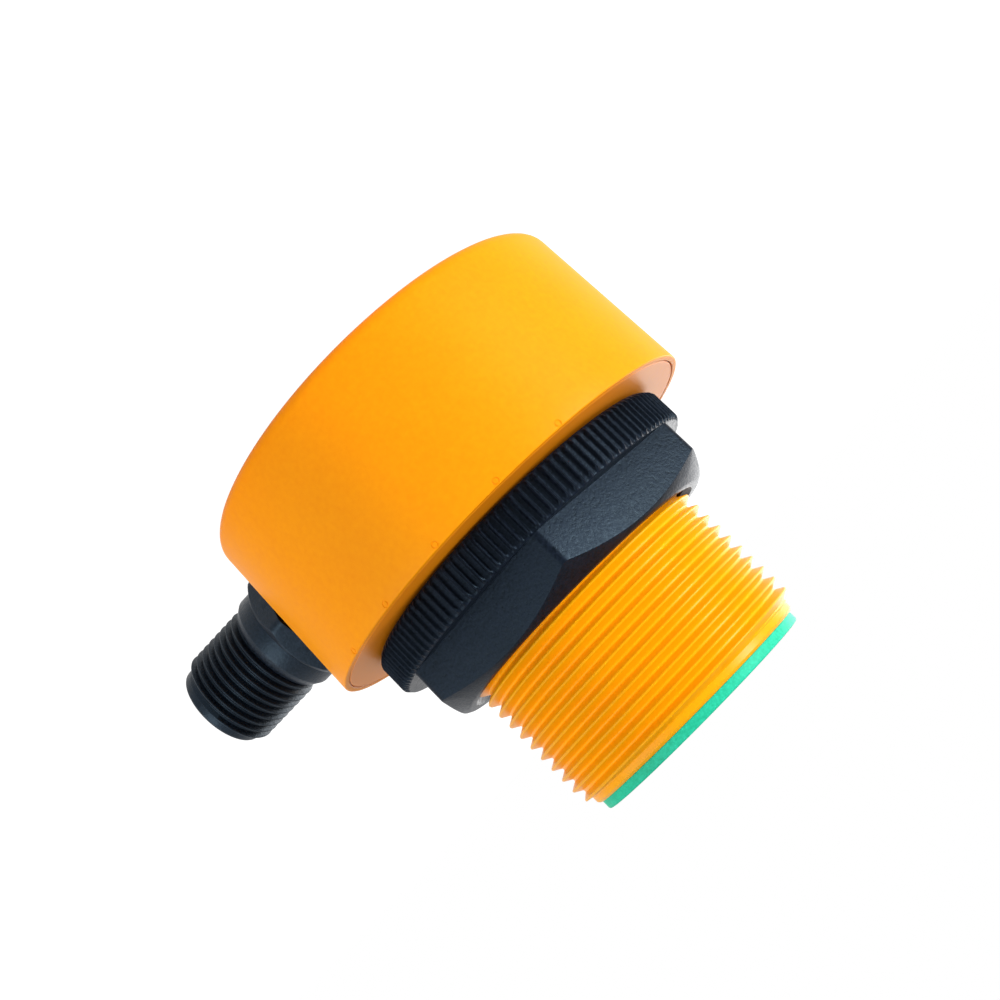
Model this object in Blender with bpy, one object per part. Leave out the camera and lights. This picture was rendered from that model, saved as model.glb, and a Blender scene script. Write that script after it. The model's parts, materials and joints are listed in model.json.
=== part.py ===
# Compact ultrasonic distance sensor with an M30 threaded barrel, a drum-shaped rear housing,
# a ribbed lock nut and an M12 five-pin plug on the drum's side.
#
# Frame: metres, +Z up. The origin is the centre of the drum's flat back, +Z runs along the barrel
# to the sensing face, and the plug points along +X. The sensor stands on its back.

import math

import bmesh
import bpy
from mathutils import Matrix, Vector

# Clearance between pieces that touch
GAP = 0.0003
# How far a cutter runs past the face that it opens
OVERCUT = 0.0010
# Sides of the round pieces: large, middling, small, and as thin as a pin
LARGE_SIDES = 32
MIDDLE_SIDES = 20
SMALL_SIDES = 14
PIN_SIDES = 8

# Drum-shaped cup that forms the rear housing
DRUM_HEIGHT = 0.0200
DRUM_FRONT_RADIUS = 0.0242
DRUM_DRAFT = math.radians(1.5)
DRUM_BACK_ROUND = 0.0015
DRUM_WALL = 0.0022
DRUM_BACK_WALL = 0.0020
DRUM_LIP = 0.0007
DRUM_SIDES = 44

# Plate that closes the drum, and the threaded barrel that it holds by a flange
PLATE_THICKNESS = 0.0022
BARREL_FLANGE_RADIUS = 0.0158
BARREL_FLANGE_THICKNESS = 0.0010
BARREL_LENGTH = 0.0260
BARREL_BORE_RADIUS = 0.0120
BARREL_NECK_RADIUS = 0.0105
BARREL_LEDGE_HEIGHT = 0.0037
PILOT_RADIUS = 0.0139
PILOT_LENGTH = 0.0005
PILOT_CHAMFER = 0.0002

# M30 x 1.5 thread, shared by the barrel and the lock nut
THREAD_MAJOR_RADIUS = 0.01495
THREAD_PITCH = 0.0015
THREAD_HALF_ANGLE = math.radians(30.0)
THREAD_DEPTH = 0.00092
THREAD_CREST_FLAT = 0.00019
THREAD_FIRST_CREST = 0.0009
THREAD_SIDES = 25
THREAD_FADE_STEPS = 8
THREAD_CLEARANCE = 0.0003

# Sensing face and the transducer behind it
FACE_RADIUS = 0.01345
FACE_DISC_THICKNESS = 0.0008
FACE_EDGE = 0.0002
FACE_PLUG_DEPTH = 0.0030
PIEZO_RADIUS = 0.0080
PIEZO_THICKNESS = 0.0020
BACKING_CLEARANCE = 0.0025
LEAD_RADIUS = 0.0004
LEAD_SPREAD = 0.0050
LEAD_OFFSET = -0.0062
LEAD_BOW = 0.0008

# Lock nut: ribbed flange, hexagon, and a recess that holds its seal
NUT_FLANGE_RADIUS = 0.0201
NUT_FLANGE_HEIGHT = 0.0043
NUT_RIB_COUNT = 124
NUT_RIB_DEPTH = 0.00045
NUT_BACK_CHAMFER = 0.0006
NUT_FRONT_CHAMFER = 0.0005
NUT_ACROSS_FLATS = 0.0346
NUT_HEX_HEIGHT = 0.0057
NUT_HEX_TURN = math.radians(14.5)
NUT_CHAMFER_HEIGHT = 0.0020
NUT_FRONT_RADIUS = 0.0168
NUT_BORE_CHAMFER = 0.0005
SEAL_THREAD_CLEARANCE = 0.00145
SEAL_WIDTH = 0.0019
SEAL_THICKNESS = 0.0012

# M12 plug, square to the drum's sloping wall and measured from the flat back of its hexagon
PLUG_HEIGHT = 0.0095
PLUG_SPOT_DEPTH = 0.0010
PLUG_SPOT_RADIUS = 0.0079
PLUG_PAD_RADIUS = 0.0072
PLUG_PAD_THICKNESS = 0.0025
PLUG_HOLE_RADIUS = 0.0050
PLUG_ACROSS_FLATS = 0.0131
PLUG_HEX_TURN = math.radians(30.0)
PLUG_HEX_LENGTH = 0.0024
PLUG_HEX_CHAMFER = 0.0006
PLUG_COLLAR_RADIUS = 0.0065
PLUG_COLLAR_STEP = 0.0001
PLUG_COLLAR_LENGTH = 0.0019
PLUG_CONE_LENGTH = 0.0011
PLUG_CONE_TOP_RADIUS = 0.0057
PLUG_NECK_LENGTH = 0.0004
PLUG_THREAD_RADIUS = 0.00597
PLUG_THREAD_PITCH = 0.0010
PLUG_THREAD_DEPTH = 0.00058
PLUG_THREAD_CREST_FLAT = 0.00013
PLUG_THREAD_LENGTH = 0.0082
PLUG_THREAD_SIDES = 16
PLUG_PILOT_RADIUS = 0.0053
PLUG_PILOT_LENGTH = 0.0012
PLUG_END_CHAMFER = 0.0003
PLUG_SOCKET_RADIUS = 0.0043
PLUG_BORE_RADIUS = 0.0040
PLUG_BORE_STEP = 0.0010
PLUG_TAIL_LENGTH = 0.0067
PLUG_KEY_WIDTH = 0.0009
PLUG_KEY_HEIGHT = 0.0005
PLUG_SEAL_RADIUS = 0.0059
PLUG_SEAL_SECTION = 0.0004
PLUG_NUT_ACROSS_FLATS = 0.0125
PLUG_NUT_THICKNESS = 0.0022

# Contact carrier and its five pins
CARRIER_FACE = 0.0080
CARRIER_SET_BACK = 0.0005
PIN_RADIUS = 0.0005
PIN_TIP = 0.0002
PIN_CIRCLE_RADIUS = 0.0025
PIN_RECESS = 0.0010
PIN_TAIL_LENGTH = 0.0013

# Circuit boards and what they carry
MAIN_BOARD_CLEARANCE = 0.0018
MAIN_BOARD_THICKNESS = 0.0016
MAIN_BOARD_TO_PLATE = 0.0018
POST_INSET = 0.0032
POST_RADIUS = 0.0021
POST_ANGLES = (60.0, 180.0, 300.0)
SCREW_RADIUS = 0.0008
SCREW_HEAD_RADIUS = 0.0016
SCREW_HEAD_HEIGHT = 0.0010
SCREW_SOCKET_RADIUS = 0.0007
SCREW_SOCKET_DEPTH = 0.0006
SCREW_HOLE_DEPTH = 0.0060
DRIVER_BOARD_THICKNESS = 0.0012
TERMINAL_BOARD_THICKNESS = 0.0010
TERMINAL_BOARD_WIDTH = 0.0100
TERMINAL_BOARD_FOOT = 0.0050
HEADER_LENGTH = 0.0100
HEADER_WIDTH = 0.0025
HEADER_OFFSET = -0.0040
TRANSFORMER_RADIUS = 0.0044
TRANSFORMER_HEIGHT = 0.0060
TRANSFORMER_FLANGE = 0.0004
TRANSFORMER_OFFSET = 0.0030
CAPACITOR_RADIUS = 0.00315
CAPACITOR_HEIGHT = 0.0070
# Place as shares of the board's radius
CAPACITOR_SHARE = (-0.29, -0.41)
CRYSTAL_LENGTH = 0.0048
CRYSTAL_WIDTH = 0.0024
CRYSTAL_HEIGHT = 0.0020
CRYSTAL_SHARE = (-0.38, 0.70)
CHIP_LEG_LENGTH = 0.0008
CHIP_LEG_WIDTH = 0.0004
CHIP_LEG_THICKNESS = 0.0003
CHIP_DRAFT = 0.0002
# Name, board, place as shares of the board's radius, body size and number of leg rows
CHIPS = (
    ("controller_chip", "main", (-0.23, 0.23), (0.0070, 0.0070, 0.0014), 7),
    ("voltage_regulator", "main", (0.38, 0.21), (0.0050, 0.0060, 0.0022), 3),
    ("output_transistor", "main", (0.35, -0.27), (0.0035, 0.0045, 0.0015), 2),
    ("receiver_chip", "driver", (0.0, -0.55), (0.0040, 0.0036, 0.0014), 4),
    ("temperature_sensor", "driver", (0.68, 0.17), (0.0016, 0.0029, 0.0011), 2),
)


def drum_radius(height):
    return DRUM_FRONT_RADIUS - math.tan(DRUM_DRAFT) * (DRUM_HEIGHT - height)


# Places that follow from the sizes above
DRUM_FACE = DRUM_HEIGHT
PLATE_RADIUS = DRUM_FRONT_RADIUS - DRUM_LIP - GAP
PLATE_BACK = DRUM_FACE - PLATE_THICKNESS
RABBET_HEIGHT = PLATE_BACK - GAP
BARREL_FLANGE_TOP = PLATE_BACK + BARREL_FLANGE_THICKNESS
BARREL_END = DRUM_FACE + BARREL_LENGTH
THREAD_ROOT_RADIUS = THREAD_MAJOR_RADIUS - THREAD_DEPTH
NUT_BACK = DRUM_FACE + GAP
NUT_HEIGHT = NUT_FLANGE_HEIGHT + NUT_HEX_HEIGHT
SEAL_INNER_RADIUS = THREAD_MAJOR_RADIUS + SEAL_THREAD_CLEARANCE
SEAL_OUTER_RADIUS = SEAL_INNER_RADIUS + SEAL_WIDTH
PLUG_SEAT = drum_radius(PLUG_HEIGHT) - PLUG_SPOT_DEPTH
PLUG_COLLAR_END = PLUG_HEX_LENGTH + PLUG_COLLAR_LENGTH
PLUG_CONE_END = PLUG_COLLAR_END + PLUG_CONE_LENGTH
PLUG_THREAD_START = PLUG_CONE_END + PLUG_NECK_LENGTH
PLUG_THREAD_END = PLUG_THREAD_START + PLUG_THREAD_LENGTH
PLUG_END = PLUG_THREAD_END + PLUG_PILOT_LENGTH
PLUG_TAIL_RADIUS = PLUG_HOLE_RADIUS - GAP
PLUG_PAD_FACE = -GAP - PLUG_PAD_THICKNESS
PLUG_NUT_BACK = PLUG_PAD_FACE - GAP - PLUG_NUT_THICKNESS
MAIN_BOARD_RADIUS = PLUG_SEAT + GAP + PLUG_NUT_BACK - MAIN_BOARD_CLEARANCE
MAIN_BOARD_TOP = PLATE_BACK - MAIN_BOARD_TO_PLATE
MAIN_BOARD_HEIGHT = MAIN_BOARD_TOP - MAIN_BOARD_THICKNESS
POST_CIRCLE_RADIUS = MAIN_BOARD_RADIUS - POST_INSET
POST_TOP = MAIN_BOARD_HEIGHT - GAP
DRIVER_BOARD_RADIUS = BARREL_BORE_RADIUS - GAP
DRIVER_BOARD_HEIGHT = DRUM_FACE + BARREL_LEDGE_HEIGHT + GAP
DRIVER_BOARD_TOP = DRIVER_BOARD_HEIGHT + DRIVER_BOARD_THICKNESS
TRANSFORMER_TOP = DRIVER_BOARD_TOP + GAP + TRANSFORMER_HEIGHT

# Colours, roughness and metallic value of each finish
FINISHES = {
    "orange_plastic": ((1.00, 0.42, 0.02), 0.45, 0.0),
    "yellow_plastic": ((1.00, 0.53, 0.01), 0.42, 0.0),
    "green_epoxy": ((0.02, 0.66, 0.36), 0.40, 0.0),
    "black_plastic": ((0.018, 0.022, 0.032), 0.55, 0.0),
    "black_rubber": ((0.012, 0.012, 0.013), 0.80, 0.0),
    "cork_foam": ((0.35, 0.22, 0.12), 0.90, 0.0),
    "ceramic": ((0.62, 0.58, 0.48), 0.50, 0.0),
    "grey_resin": ((0.16, 0.17, 0.18), 0.60, 0.0),
    "circuit_board": ((0.01, 0.15, 0.06), 0.40, 0.0),
    "chip_black": ((0.02, 0.02, 0.02), 0.50, 0.0),
    "ferrite": ((0.06, 0.06, 0.065), 0.70, 0.0),
    "bright_tin": ((0.80, 0.80, 0.82), 0.28, 1.0),
    "gold_plate": ((0.90, 0.62, 0.20), 0.25, 1.0),
    "zinc_steel": ((0.60, 0.62, 0.65), 0.35, 1.0),
    "nickel_brass": ((0.66, 0.62, 0.52), 0.30, 1.0),
    "red_insulation": ((0.55, 0.02, 0.02), 0.45, 0.0),
    "white_insulation": ((0.75, 0.75, 0.72), 0.45, 0.0),
}


def clear_scene():
    for item in list(bpy.data.objects):
        bpy.data.objects.remove(item, do_unlink=True)


def make_finish(name):
    colour, roughness, metallic = FINISHES[name]
    material = bpy.data.materials.new(name)
    material.use_nodes = True
    shader = material.node_tree.nodes["Principled BSDF"]
    shader.inputs["Base Color"].default_value = (*colour, 1.0)
    shader.inputs["Roughness"].default_value = roughness
    shader.inputs["Metallic"].default_value = metallic
    material.diffuse_color = (*colour, 1.0)
    return material


def add_object(name, bm, finish, parent=None):
    # One named object from a closed bmesh, shaded smooth across its shallow edges
    bmesh.ops.recalc_face_normals(bm, faces=bm.faces)
    mesh = bpy.data.meshes.new(name)
    bm.to_mesh(mesh)
    bm.free()
    mesh.shade_smooth()
    mesh.set_sharp_from_angle(angle=math.radians(35.0))
    item = bpy.data.objects.new(name, mesh)
    bpy.context.collection.objects.link(item)
    item.data.materials.append(finish)
    item.parent = parent
    return item


def add_cutter(name, bm, parent=None):
    # A shape that only cuts or joins other pieces
    bmesh.ops.recalc_face_normals(bm, faces=bm.faces)
    mesh = bpy.data.meshes.new(name)
    bm.to_mesh(mesh)
    bm.free()
    item = bpy.data.objects.new(name, mesh)
    bpy.context.collection.objects.link(item)
    item.parent = parent
    item.hide_render = True
    item.display_type = "WIRE"
    return item


def add_empty(name, location, rotation=(0.0, 0.0, 0.0)):
    item = bpy.data.objects.new(name, None)
    bpy.context.collection.objects.link(item)
    item.location = location
    item.rotation_euler = rotation
    return item


def combine(item, other, operation):
    modifier = item.modifiers.new(other.name, "BOOLEAN")
    modifier.operation = operation
    modifier.solver = "EXACT"
    modifier.object = other


def turned(profile, segments):
    # Solid turned about Z from (radius, height) points; it closes on itself or ends on the axis
    bm = bmesh.new()
    verts = [bm.verts.new((radius, 0.0, height)) for radius, height in profile]
    on_axis = profile[0][0] == 0.0 and profile[-1][0] == 0.0
    ends = verts[1:] if on_axis else verts[1:] + verts[:1]
    edges = [bm.edges.new(pair) for pair in zip(verts, ends)]
    bmesh.ops.spin(bm, geom=verts + edges, cent=(0.0, 0.0, 0.0), axis=(0.0, 0.0, 1.0),
                   angle=math.tau, steps=segments, use_merge=True)
    bmesh.ops.remove_doubles(bm, verts=bm.verts, dist=1e-7)
    return bm


def ring_profile(inner, outer, low, high):
    return [(inner, low), (outer, low), (outer, high), (inner, high)]


def extruded(outline, low, high):
    # Flat outline in XY, extruded along Z
    bm = bmesh.new()
    face = bm.faces.new([bm.verts.new((x, y, low)) for x, y in outline])
    grown = bmesh.ops.extrude_face_region(bm, geom=[face])
    moved = [part for part in grown["geom"] if isinstance(part, bmesh.types.BMVert)]
    bmesh.ops.translate(bm, verts=moved, vec=(0.0, 0.0, high - low))
    return bm


def rod(radius, low, high, segments):
    # Plain cylinder along Z
    bm = bmesh.new()
    bmesh.ops.create_cone(bm, cap_ends=True, segments=segments, radius1=radius, radius2=radius,
                          depth=high - low,
                          matrix=Matrix.Translation((0.0, 0.0, (low + high) / 2.0)))
    return bm


def polygon(sides, across_flats, turn):
    radius = across_flats / 2.0 / math.cos(math.pi / sides)
    angles = [turn + math.tau * index / sides for index in range(sides)]
    return [(radius * math.cos(angle), radius * math.sin(angle)) for angle in angles]


def rectangle(size_x, size_y, centre=(0.0, 0.0)):
    half_x = size_x / 2.0
    half_y = size_y / 2.0
    corners = ((-half_x, -half_y), (half_x, -half_y), (half_x, half_y), (-half_x, half_y))
    return [(centre[0] + x, centre[1] + y) for x, y in corners]


def ring(bm, radius, height, segments):
    angles = [math.tau * index / segments for index in range(segments)]
    return [bm.verts.new((radius * math.cos(a), radius * math.sin(a), height)) for a in angles]


def skin(bm, first, second):
    # Band of quads between two rings of as many points
    count = len(first)
    for index in range(count):
        after = (index + 1) % count
        bm.faces.new((first[index], first[after], second[after], second[index]))


def stack_rings(bm, levels, segments):
    # Rings at each (radius, height), with a skin from each to the next
    rings = [ring(bm, radius, height, segments) for radius, height in levels]
    for first, second in zip(rings, rings[1:]):
        skin(bm, first, second)
    return rings


def ridge_half(depth, crest_flat):
    # Half the width of a thread's ridge at its foot
    return depth * math.tan(THREAD_HALF_ANGLE) + crest_flat / 2.0


def thread_steps(length, pitch, segments):
    # Whole steps of ridge that fit in a length, with one pitch left for the last turn's rise
    return math.floor((length / pitch - 1.0) * segments)


def thread_band(bm, below, above, foot, depth, crest_flat, pitch, start, steps):
    # Helical ridge between two rings of the foot radius. It climbs one pitch for each turn,
    # grows out of the foot cylinder at its start and fades back into it at its end.
    segments = len(below)
    flank = depth * math.tan(THREAD_HALF_ANGLE)
    marks = ((flank, 1.0), (flank + crest_flat, 1.0), (2.0 * flank + crest_flat, 0.0))

    def helix_point(step, offset, rise):
        fade = min(1.0, step / THREAD_FADE_STEPS, (steps - step) / THREAD_FADE_STEPS)
        radius = foot + depth * rise * fade
        angle = math.tau * step / segments
        height = start + pitch * step / segments + offset
        return bm.verts.new((radius * math.cos(angle), radius * math.sin(angle), height))

    line = [helix_point(step, 0.0, 0.0) for step in range(steps + segments + 1)]
    columns = []
    for step in range(steps + 1):
        ridge = [helix_point(step, offset, rise) for offset, rise in marks]
        columns.append([line[step]] + ridge + [line[step + segments]])
    for left, right in zip(columns, columns[1:]):
        for low in range(len(left) - 1):
            bm.faces.new((left[low], right[low], right[low + 1], left[low + 1]))
    for index in range(segments - 1):
        bm.faces.new((below[index], below[index + 1], line[index + 1], line[index]))
    close_step(bm, [below[-1], line[segments - 1]], [below[0]] + columns[0])
    for index in range(1, segments):
        here = (steps + index) % segments
        after = (here + 1) % segments
        bm.faces.new((line[steps + index], line[steps + index + 1], above[after], above[here]))
    first = steps % segments
    after = (first + 1) % segments
    close_step(bm, [above[after], line[steps + 1]], [above[first]] + columns[-1][::-1])


def close_step(bm, side, column):
    # Upright strip where a thread starts or ends: a quad, then a fan from its far corner
    far, near = side
    bm.faces.new((far, column[0], column[1], near))
    for low, high in zip(column[1:], column[2:]):
        bm.faces.new((near, low, high))


def coned_hexagon(across_flats, turn, low, cone_low, top_radius, top):
    # Hexagonal prism whose corners are turned to a cone, so each flat ends in an arc
    bm = bmesh.new()
    steps = 6
    flat = across_flats / 2.0
    corner = flat / math.cos(math.pi / 6.0)
    slope = (top - cone_low) / (corner - top_radius)
    bottom = []
    shoulder = []
    crown = []
    for index in range(6 * steps):
        within = math.pi / 3.0 * (index % steps) / steps - math.pi / 6.0
        reach = flat / math.cos(within)
        angle = turn + math.tau * index / (6 * steps)
        along = Vector((math.cos(angle), math.sin(angle), 0.0))
        rise = Vector((0.0, 0.0, cone_low + slope * (corner - reach)))
        bottom.append(bm.verts.new(along * reach + Vector((0.0, 0.0, low))))
        shoulder.append(bm.verts.new(along * reach + rise))
        crown.append(bm.verts.new(along * top_radius + Vector((0.0, 0.0, top))))
    skin(bm, bottom, shoulder)
    skin(bm, shoulder, crown)
    bm.faces.new(bottom[::-1])
    bm.faces.new(crown)
    return bm


def build_housing_cup(finish, plug_base):
    corner_radius = drum_radius(DRUM_BACK_ROUND) - DRUM_BACK_ROUND
    profile = [(0.0, 0.0)]
    for degrees in (0.0, 22.5, 45.0, 67.5, 90.0):
        angle = math.radians(degrees)
        profile.append((corner_radius + DRUM_BACK_ROUND * math.sin(angle),
                        DRUM_BACK_ROUND * (1.0 - math.cos(angle))))
    lip_inner = DRUM_FRONT_RADIUS - DRUM_LIP
    profile += [(DRUM_FRONT_RADIUS, DRUM_HEIGHT), (lip_inner, DRUM_HEIGHT),
                (lip_inner, RABBET_HEIGHT),
                (drum_radius(RABBET_HEIGHT) - DRUM_WALL, RABBET_HEIGHT),
                (drum_radius(DRUM_BACK_WALL) - DRUM_WALL, DRUM_BACK_WALL),
                (0.0, DRUM_BACK_WALL)]
    cup = add_object("housing_cup", turned(profile, DRUM_SIDES), finish)
    add_plug_seat(cup, plug_base)
    add_board_posts(cup)
    return cup


def add_plug_seat(cup, plug_base):
    # Pad inside the wall, flat seat outside it, and the hole that the plug's tail passes through
    pad = rod(PLUG_PAD_RADIUS, PLUG_PAD_FACE, PLUG_PAD_FACE / 4.0, MIDDLE_SIDES)
    combine(cup, add_cutter("plug_pad", pad, plug_base), "UNION")
    reach = DRUM_FRONT_RADIUS - PLUG_SEAT + OVERCUT
    spot = rod(PLUG_SPOT_RADIUS, -GAP, reach, MIDDLE_SIDES)
    combine(cup, add_cutter("plug_spot_face", spot, plug_base), "DIFFERENCE")
    hole = rod(PLUG_HOLE_RADIUS, PLUG_PAD_FACE - OVERCUT, OVERCUT, MIDDLE_SIDES)
    combine(cup, add_cutter("plug_hole", hole, plug_base), "DIFFERENCE")


def add_board_posts(cup):
    for index, degrees in enumerate(POST_ANGLES):
        place = post_place(degrees)
        post = add_cutter("board_post_%d" % (index + 1),
                          rod(POST_RADIUS, DRUM_BACK_WALL / 2.0, POST_TOP, SMALL_SIDES))
        post.location = place
        combine(cup, post, "UNION")
        hole = add_cutter("post_hole_%d" % (index + 1),
                          rod(SCREW_RADIUS + GAP, POST_TOP - SCREW_HOLE_DEPTH,
                              POST_TOP + OVERCUT, PIN_SIDES))
        hole.location = place
        combine(cup, hole, "DIFFERENCE")


def post_place(degrees):
    angle = math.radians(degrees)
    return (POST_CIRCLE_RADIUS * math.cos(angle), POST_CIRCLE_RADIUS * math.sin(angle), 0.0)


def build_front_plate(finish):
    # Closes the drum; a counterbore in its back takes the barrel's flange
    hole = THREAD_ROOT_RADIUS + GAP
    pocket = BARREL_FLANGE_RADIUS + GAP
    step = BARREL_FLANGE_TOP + GAP
    profile = [(pocket, PLATE_BACK), (PLATE_RADIUS, PLATE_BACK), (PLATE_RADIUS, DRUM_FACE),
               (hole, DRUM_FACE), (hole, step), (pocket, step)]
    return add_object("front_plate", turned(profile, LARGE_SIDES), finish)


def build_threaded_barrel(finish):
    # Flange, thread, pilot and bore in one moulding, skinned from the bore outwards and back in
    bm = bmesh.new()
    count = THREAD_SIDES
    start = DRUM_FACE + THREAD_FIRST_CREST - ridge_half(THREAD_DEPTH, THREAD_CREST_FLAT)
    thread_top = BARREL_END - PILOT_LENGTH
    steps = thread_steps(thread_top - start, THREAD_PITCH, count)
    ledge = DRUM_FACE + BARREL_LEDGE_HEIGHT
    lower = stack_rings(bm, ((BARREL_NECK_RADIUS, PLATE_BACK), (BARREL_FLANGE_RADIUS, PLATE_BACK),
                             (BARREL_FLANGE_RADIUS, BARREL_FLANGE_TOP),
                             (THREAD_ROOT_RADIUS, BARREL_FLANGE_TOP)), count)
    taper = THREAD_ROOT_RADIUS - PILOT_RADIUS
    upper = stack_rings(bm, ((THREAD_ROOT_RADIUS, thread_top), (PILOT_RADIUS, thread_top + taper),
                             (PILOT_RADIUS, BARREL_END - PILOT_CHAMFER),
                             (PILOT_RADIUS - PILOT_CHAMFER, BARREL_END),
                             (BARREL_BORE_RADIUS, BARREL_END), (BARREL_BORE_RADIUS, ledge),
                             (BARREL_NECK_RADIUS, ledge)), count)
    skin(bm, upper[-1], lower[0])
    thread_band(bm, lower[-1], upper[0], THREAD_ROOT_RADIUS, THREAD_DEPTH, THREAD_CREST_FLAT,
                THREAD_PITCH, start, steps)
    return add_object("threaded_barrel", bm, finish)


def build_sensing_face(finish):
    # Disc that stands out of the barrel, with a plug that fills the bore's mouth
    low = BARREL_END + GAP
    top = low + FACE_DISC_THICKNESS
    plug_radius = BARREL_BORE_RADIUS - GAP
    plug_low = BARREL_END - FACE_PLUG_DEPTH
    profile = [(0.0, plug_low), (plug_radius, plug_low), (plug_radius, low), (FACE_RADIUS, low),
               (FACE_RADIUS, top - FACE_EDGE), (FACE_RADIUS - FACE_EDGE, top), (0.0, top)]
    return add_object("sensing_face", turned(profile, LARGE_SIDES), finish)


def build_transducer(finishes):
    # Ceramic disc behind the face, damped by a block and held off the barrel by a soft sleeve
    piezo_top = BARREL_END - FACE_PLUG_DEPTH - GAP
    piezo_low = piezo_top - PIEZO_THICKNESS
    backing_top = piezo_low - GAP
    backing_low = TRANSFORMER_TOP + BACKING_CLEARANCE
    add_object("piezo_disc", rod(PIEZO_RADIUS, piezo_low, piezo_top, MIDDLE_SIDES),
               finishes["ceramic"])
    add_object("backing_block", rod(PIEZO_RADIUS, backing_low, backing_top, MIDDLE_SIDES),
               finishes["grey_resin"])
    sleeve = turned(ring_profile(PIEZO_RADIUS + GAP, BARREL_BORE_RADIUS - GAP,
                                 backing_low, piezo_top), MIDDLE_SIDES)
    add_object("decoupling_ring", sleeve, finishes["cork_foam"])
    add_lead("piezo_lead_1", -1.0, backing_low - GAP, finishes["red_insulation"])
    add_lead("piezo_lead_2", 1.0, backing_low - GAP, finishes["white_insulation"])


def add_lead(name, side, top, finish):
    # Insulated wire from the driver board up to the underside of the backing block
    low = DRIVER_BOARD_TOP + GAP
    curve = bpy.data.curves.new(name, "CURVE")
    curve.dimensions = "3D"
    curve.bevel_depth = LEAD_RADIUS
    curve.bevel_resolution = 2
    curve.use_fill_caps = True
    count = 7
    spline = curve.splines.new("POLY")
    spline.points.add(count - 1)
    for index in range(count):
        share = index / (count - 1)
        bow = LEAD_BOW * math.sin(math.pi * share) ** 2
        height = low + (top - low) * share
        spline.points[index].co = (side * (LEAD_SPREAD + bow), LEAD_OFFSET, height, 1.0)
    lead = bpy.data.objects.new(name, curve)
    bpy.context.collection.objects.link(lead)
    lead.data.materials.append(finish)
    return lead


def build_lock_nut(finish):
    # Modelled from its back face up; the empty that carries it is on the thread's axis
    axis = add_empty("nut_axis", (0.0, 0.0, NUT_BACK))
    rim = NUT_FLANGE_RADIUS
    flange = bmesh.new()
    levels = ((rim - NUT_BACK_CHAMFER, 0.0, 0.0), (rim, NUT_RIB_DEPTH, NUT_BACK_CHAMFER),
              (rim, NUT_RIB_DEPTH, NUT_FLANGE_HEIGHT - NUT_FRONT_CHAMFER),
              (rim - NUT_FRONT_CHAMFER, 0.0, NUT_FLANGE_HEIGHT))
    loops = [ribbed_loop(flange, radius, depth, height) for radius, depth, height in levels]
    for first, second in zip(loops, loops[1:]):
        skin(flange, first, second)
    flange.faces.new(loops[0][::-1])
    flange.faces.new(loops[-1])
    nut = add_object("lock_nut", flange, finish, axis)
    hexagon = coned_hexagon(NUT_ACROSS_FLATS, NUT_HEX_TURN, NUT_FLANGE_HEIGHT / 2.0,
                            NUT_HEIGHT - NUT_CHAMFER_HEIGHT, NUT_FRONT_RADIUS, NUT_HEIGHT)
    combine(nut, add_cutter("nut_hexagon", hexagon, axis), "UNION")
    recess = turned(ring_profile(SEAL_INNER_RADIUS - GAP, SEAL_OUTER_RADIUS + GAP, -OVERCUT,
                                 SEAL_THICKNESS + GAP), LARGE_SIDES)
    combine(nut, add_cutter("seal_recess", recess, axis), "DIFFERENCE")
    combine(nut, add_cutter("nut_tap", nut_tap(), axis), "DIFFERENCE")
    wide = THREAD_MAJOR_RADIUS + THREAD_CLEARANCE + NUT_BORE_CHAMFER
    low = NUT_HEIGHT - NUT_BORE_CHAMFER - THREAD_DEPTH
    mouth = turned([(0.0, low), (wide - NUT_HEIGHT + low, low), (wide + OVERCUT, NUT_HEIGHT + OVERCUT),
                    (0.0, NUT_HEIGHT + OVERCUT)], LARGE_SIDES)
    combine(nut, add_cutter("nut_mouth", mouth, axis), "DIFFERENCE")
    return nut


def ribbed_loop(bm, radius, depth, height):
    # Zigzag outline: one crest and one groove for each rib
    verts = []
    for index in range(NUT_RIB_COUNT * 2):
        angle = NUT_HEX_TURN + math.pi * index / NUT_RIB_COUNT
        reach = radius - depth * (index % 2)
        verts.append(bm.verts.new((reach * math.cos(angle), reach * math.sin(angle), height)))
    return verts


def nut_tap():
    # Threaded cutter whose thread lines up with the barrel's, with a chamfer at the nut's front
    bm = bmesh.new()
    count = THREAD_SIDES
    foot = THREAD_ROOT_RADIUS + THREAD_CLEARANCE
    first_crest = DRUM_FACE + THREAD_FIRST_CREST - NUT_BACK
    start = first_crest - ridge_half(THREAD_DEPTH, THREAD_CREST_FLAT) - 2.0 * THREAD_PITCH
    steps = math.ceil((NUT_HEIGHT + THREAD_PITCH - start) / THREAD_PITCH) * count
    low = ring(bm, foot, start - OVERCUT, count)
    high = ring(bm, foot, start + THREAD_PITCH * (steps / count + 1.0) + OVERCUT, count)
    thread_band(bm, low, high, foot, THREAD_DEPTH, THREAD_CREST_FLAT, THREAD_PITCH, start, steps)
    bm.faces.new(low[::-1])
    bm.faces.new(high)
    return bm


def build_seal(finish):
    low = DRUM_FACE + GAP
    profile = ring_profile(SEAL_INNER_RADIUS, SEAL_OUTER_RADIUS, low, low + SEAL_THICKNESS)
    return add_object("sealing_ring", turned(profile, LARGE_SIDES), finish)


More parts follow.
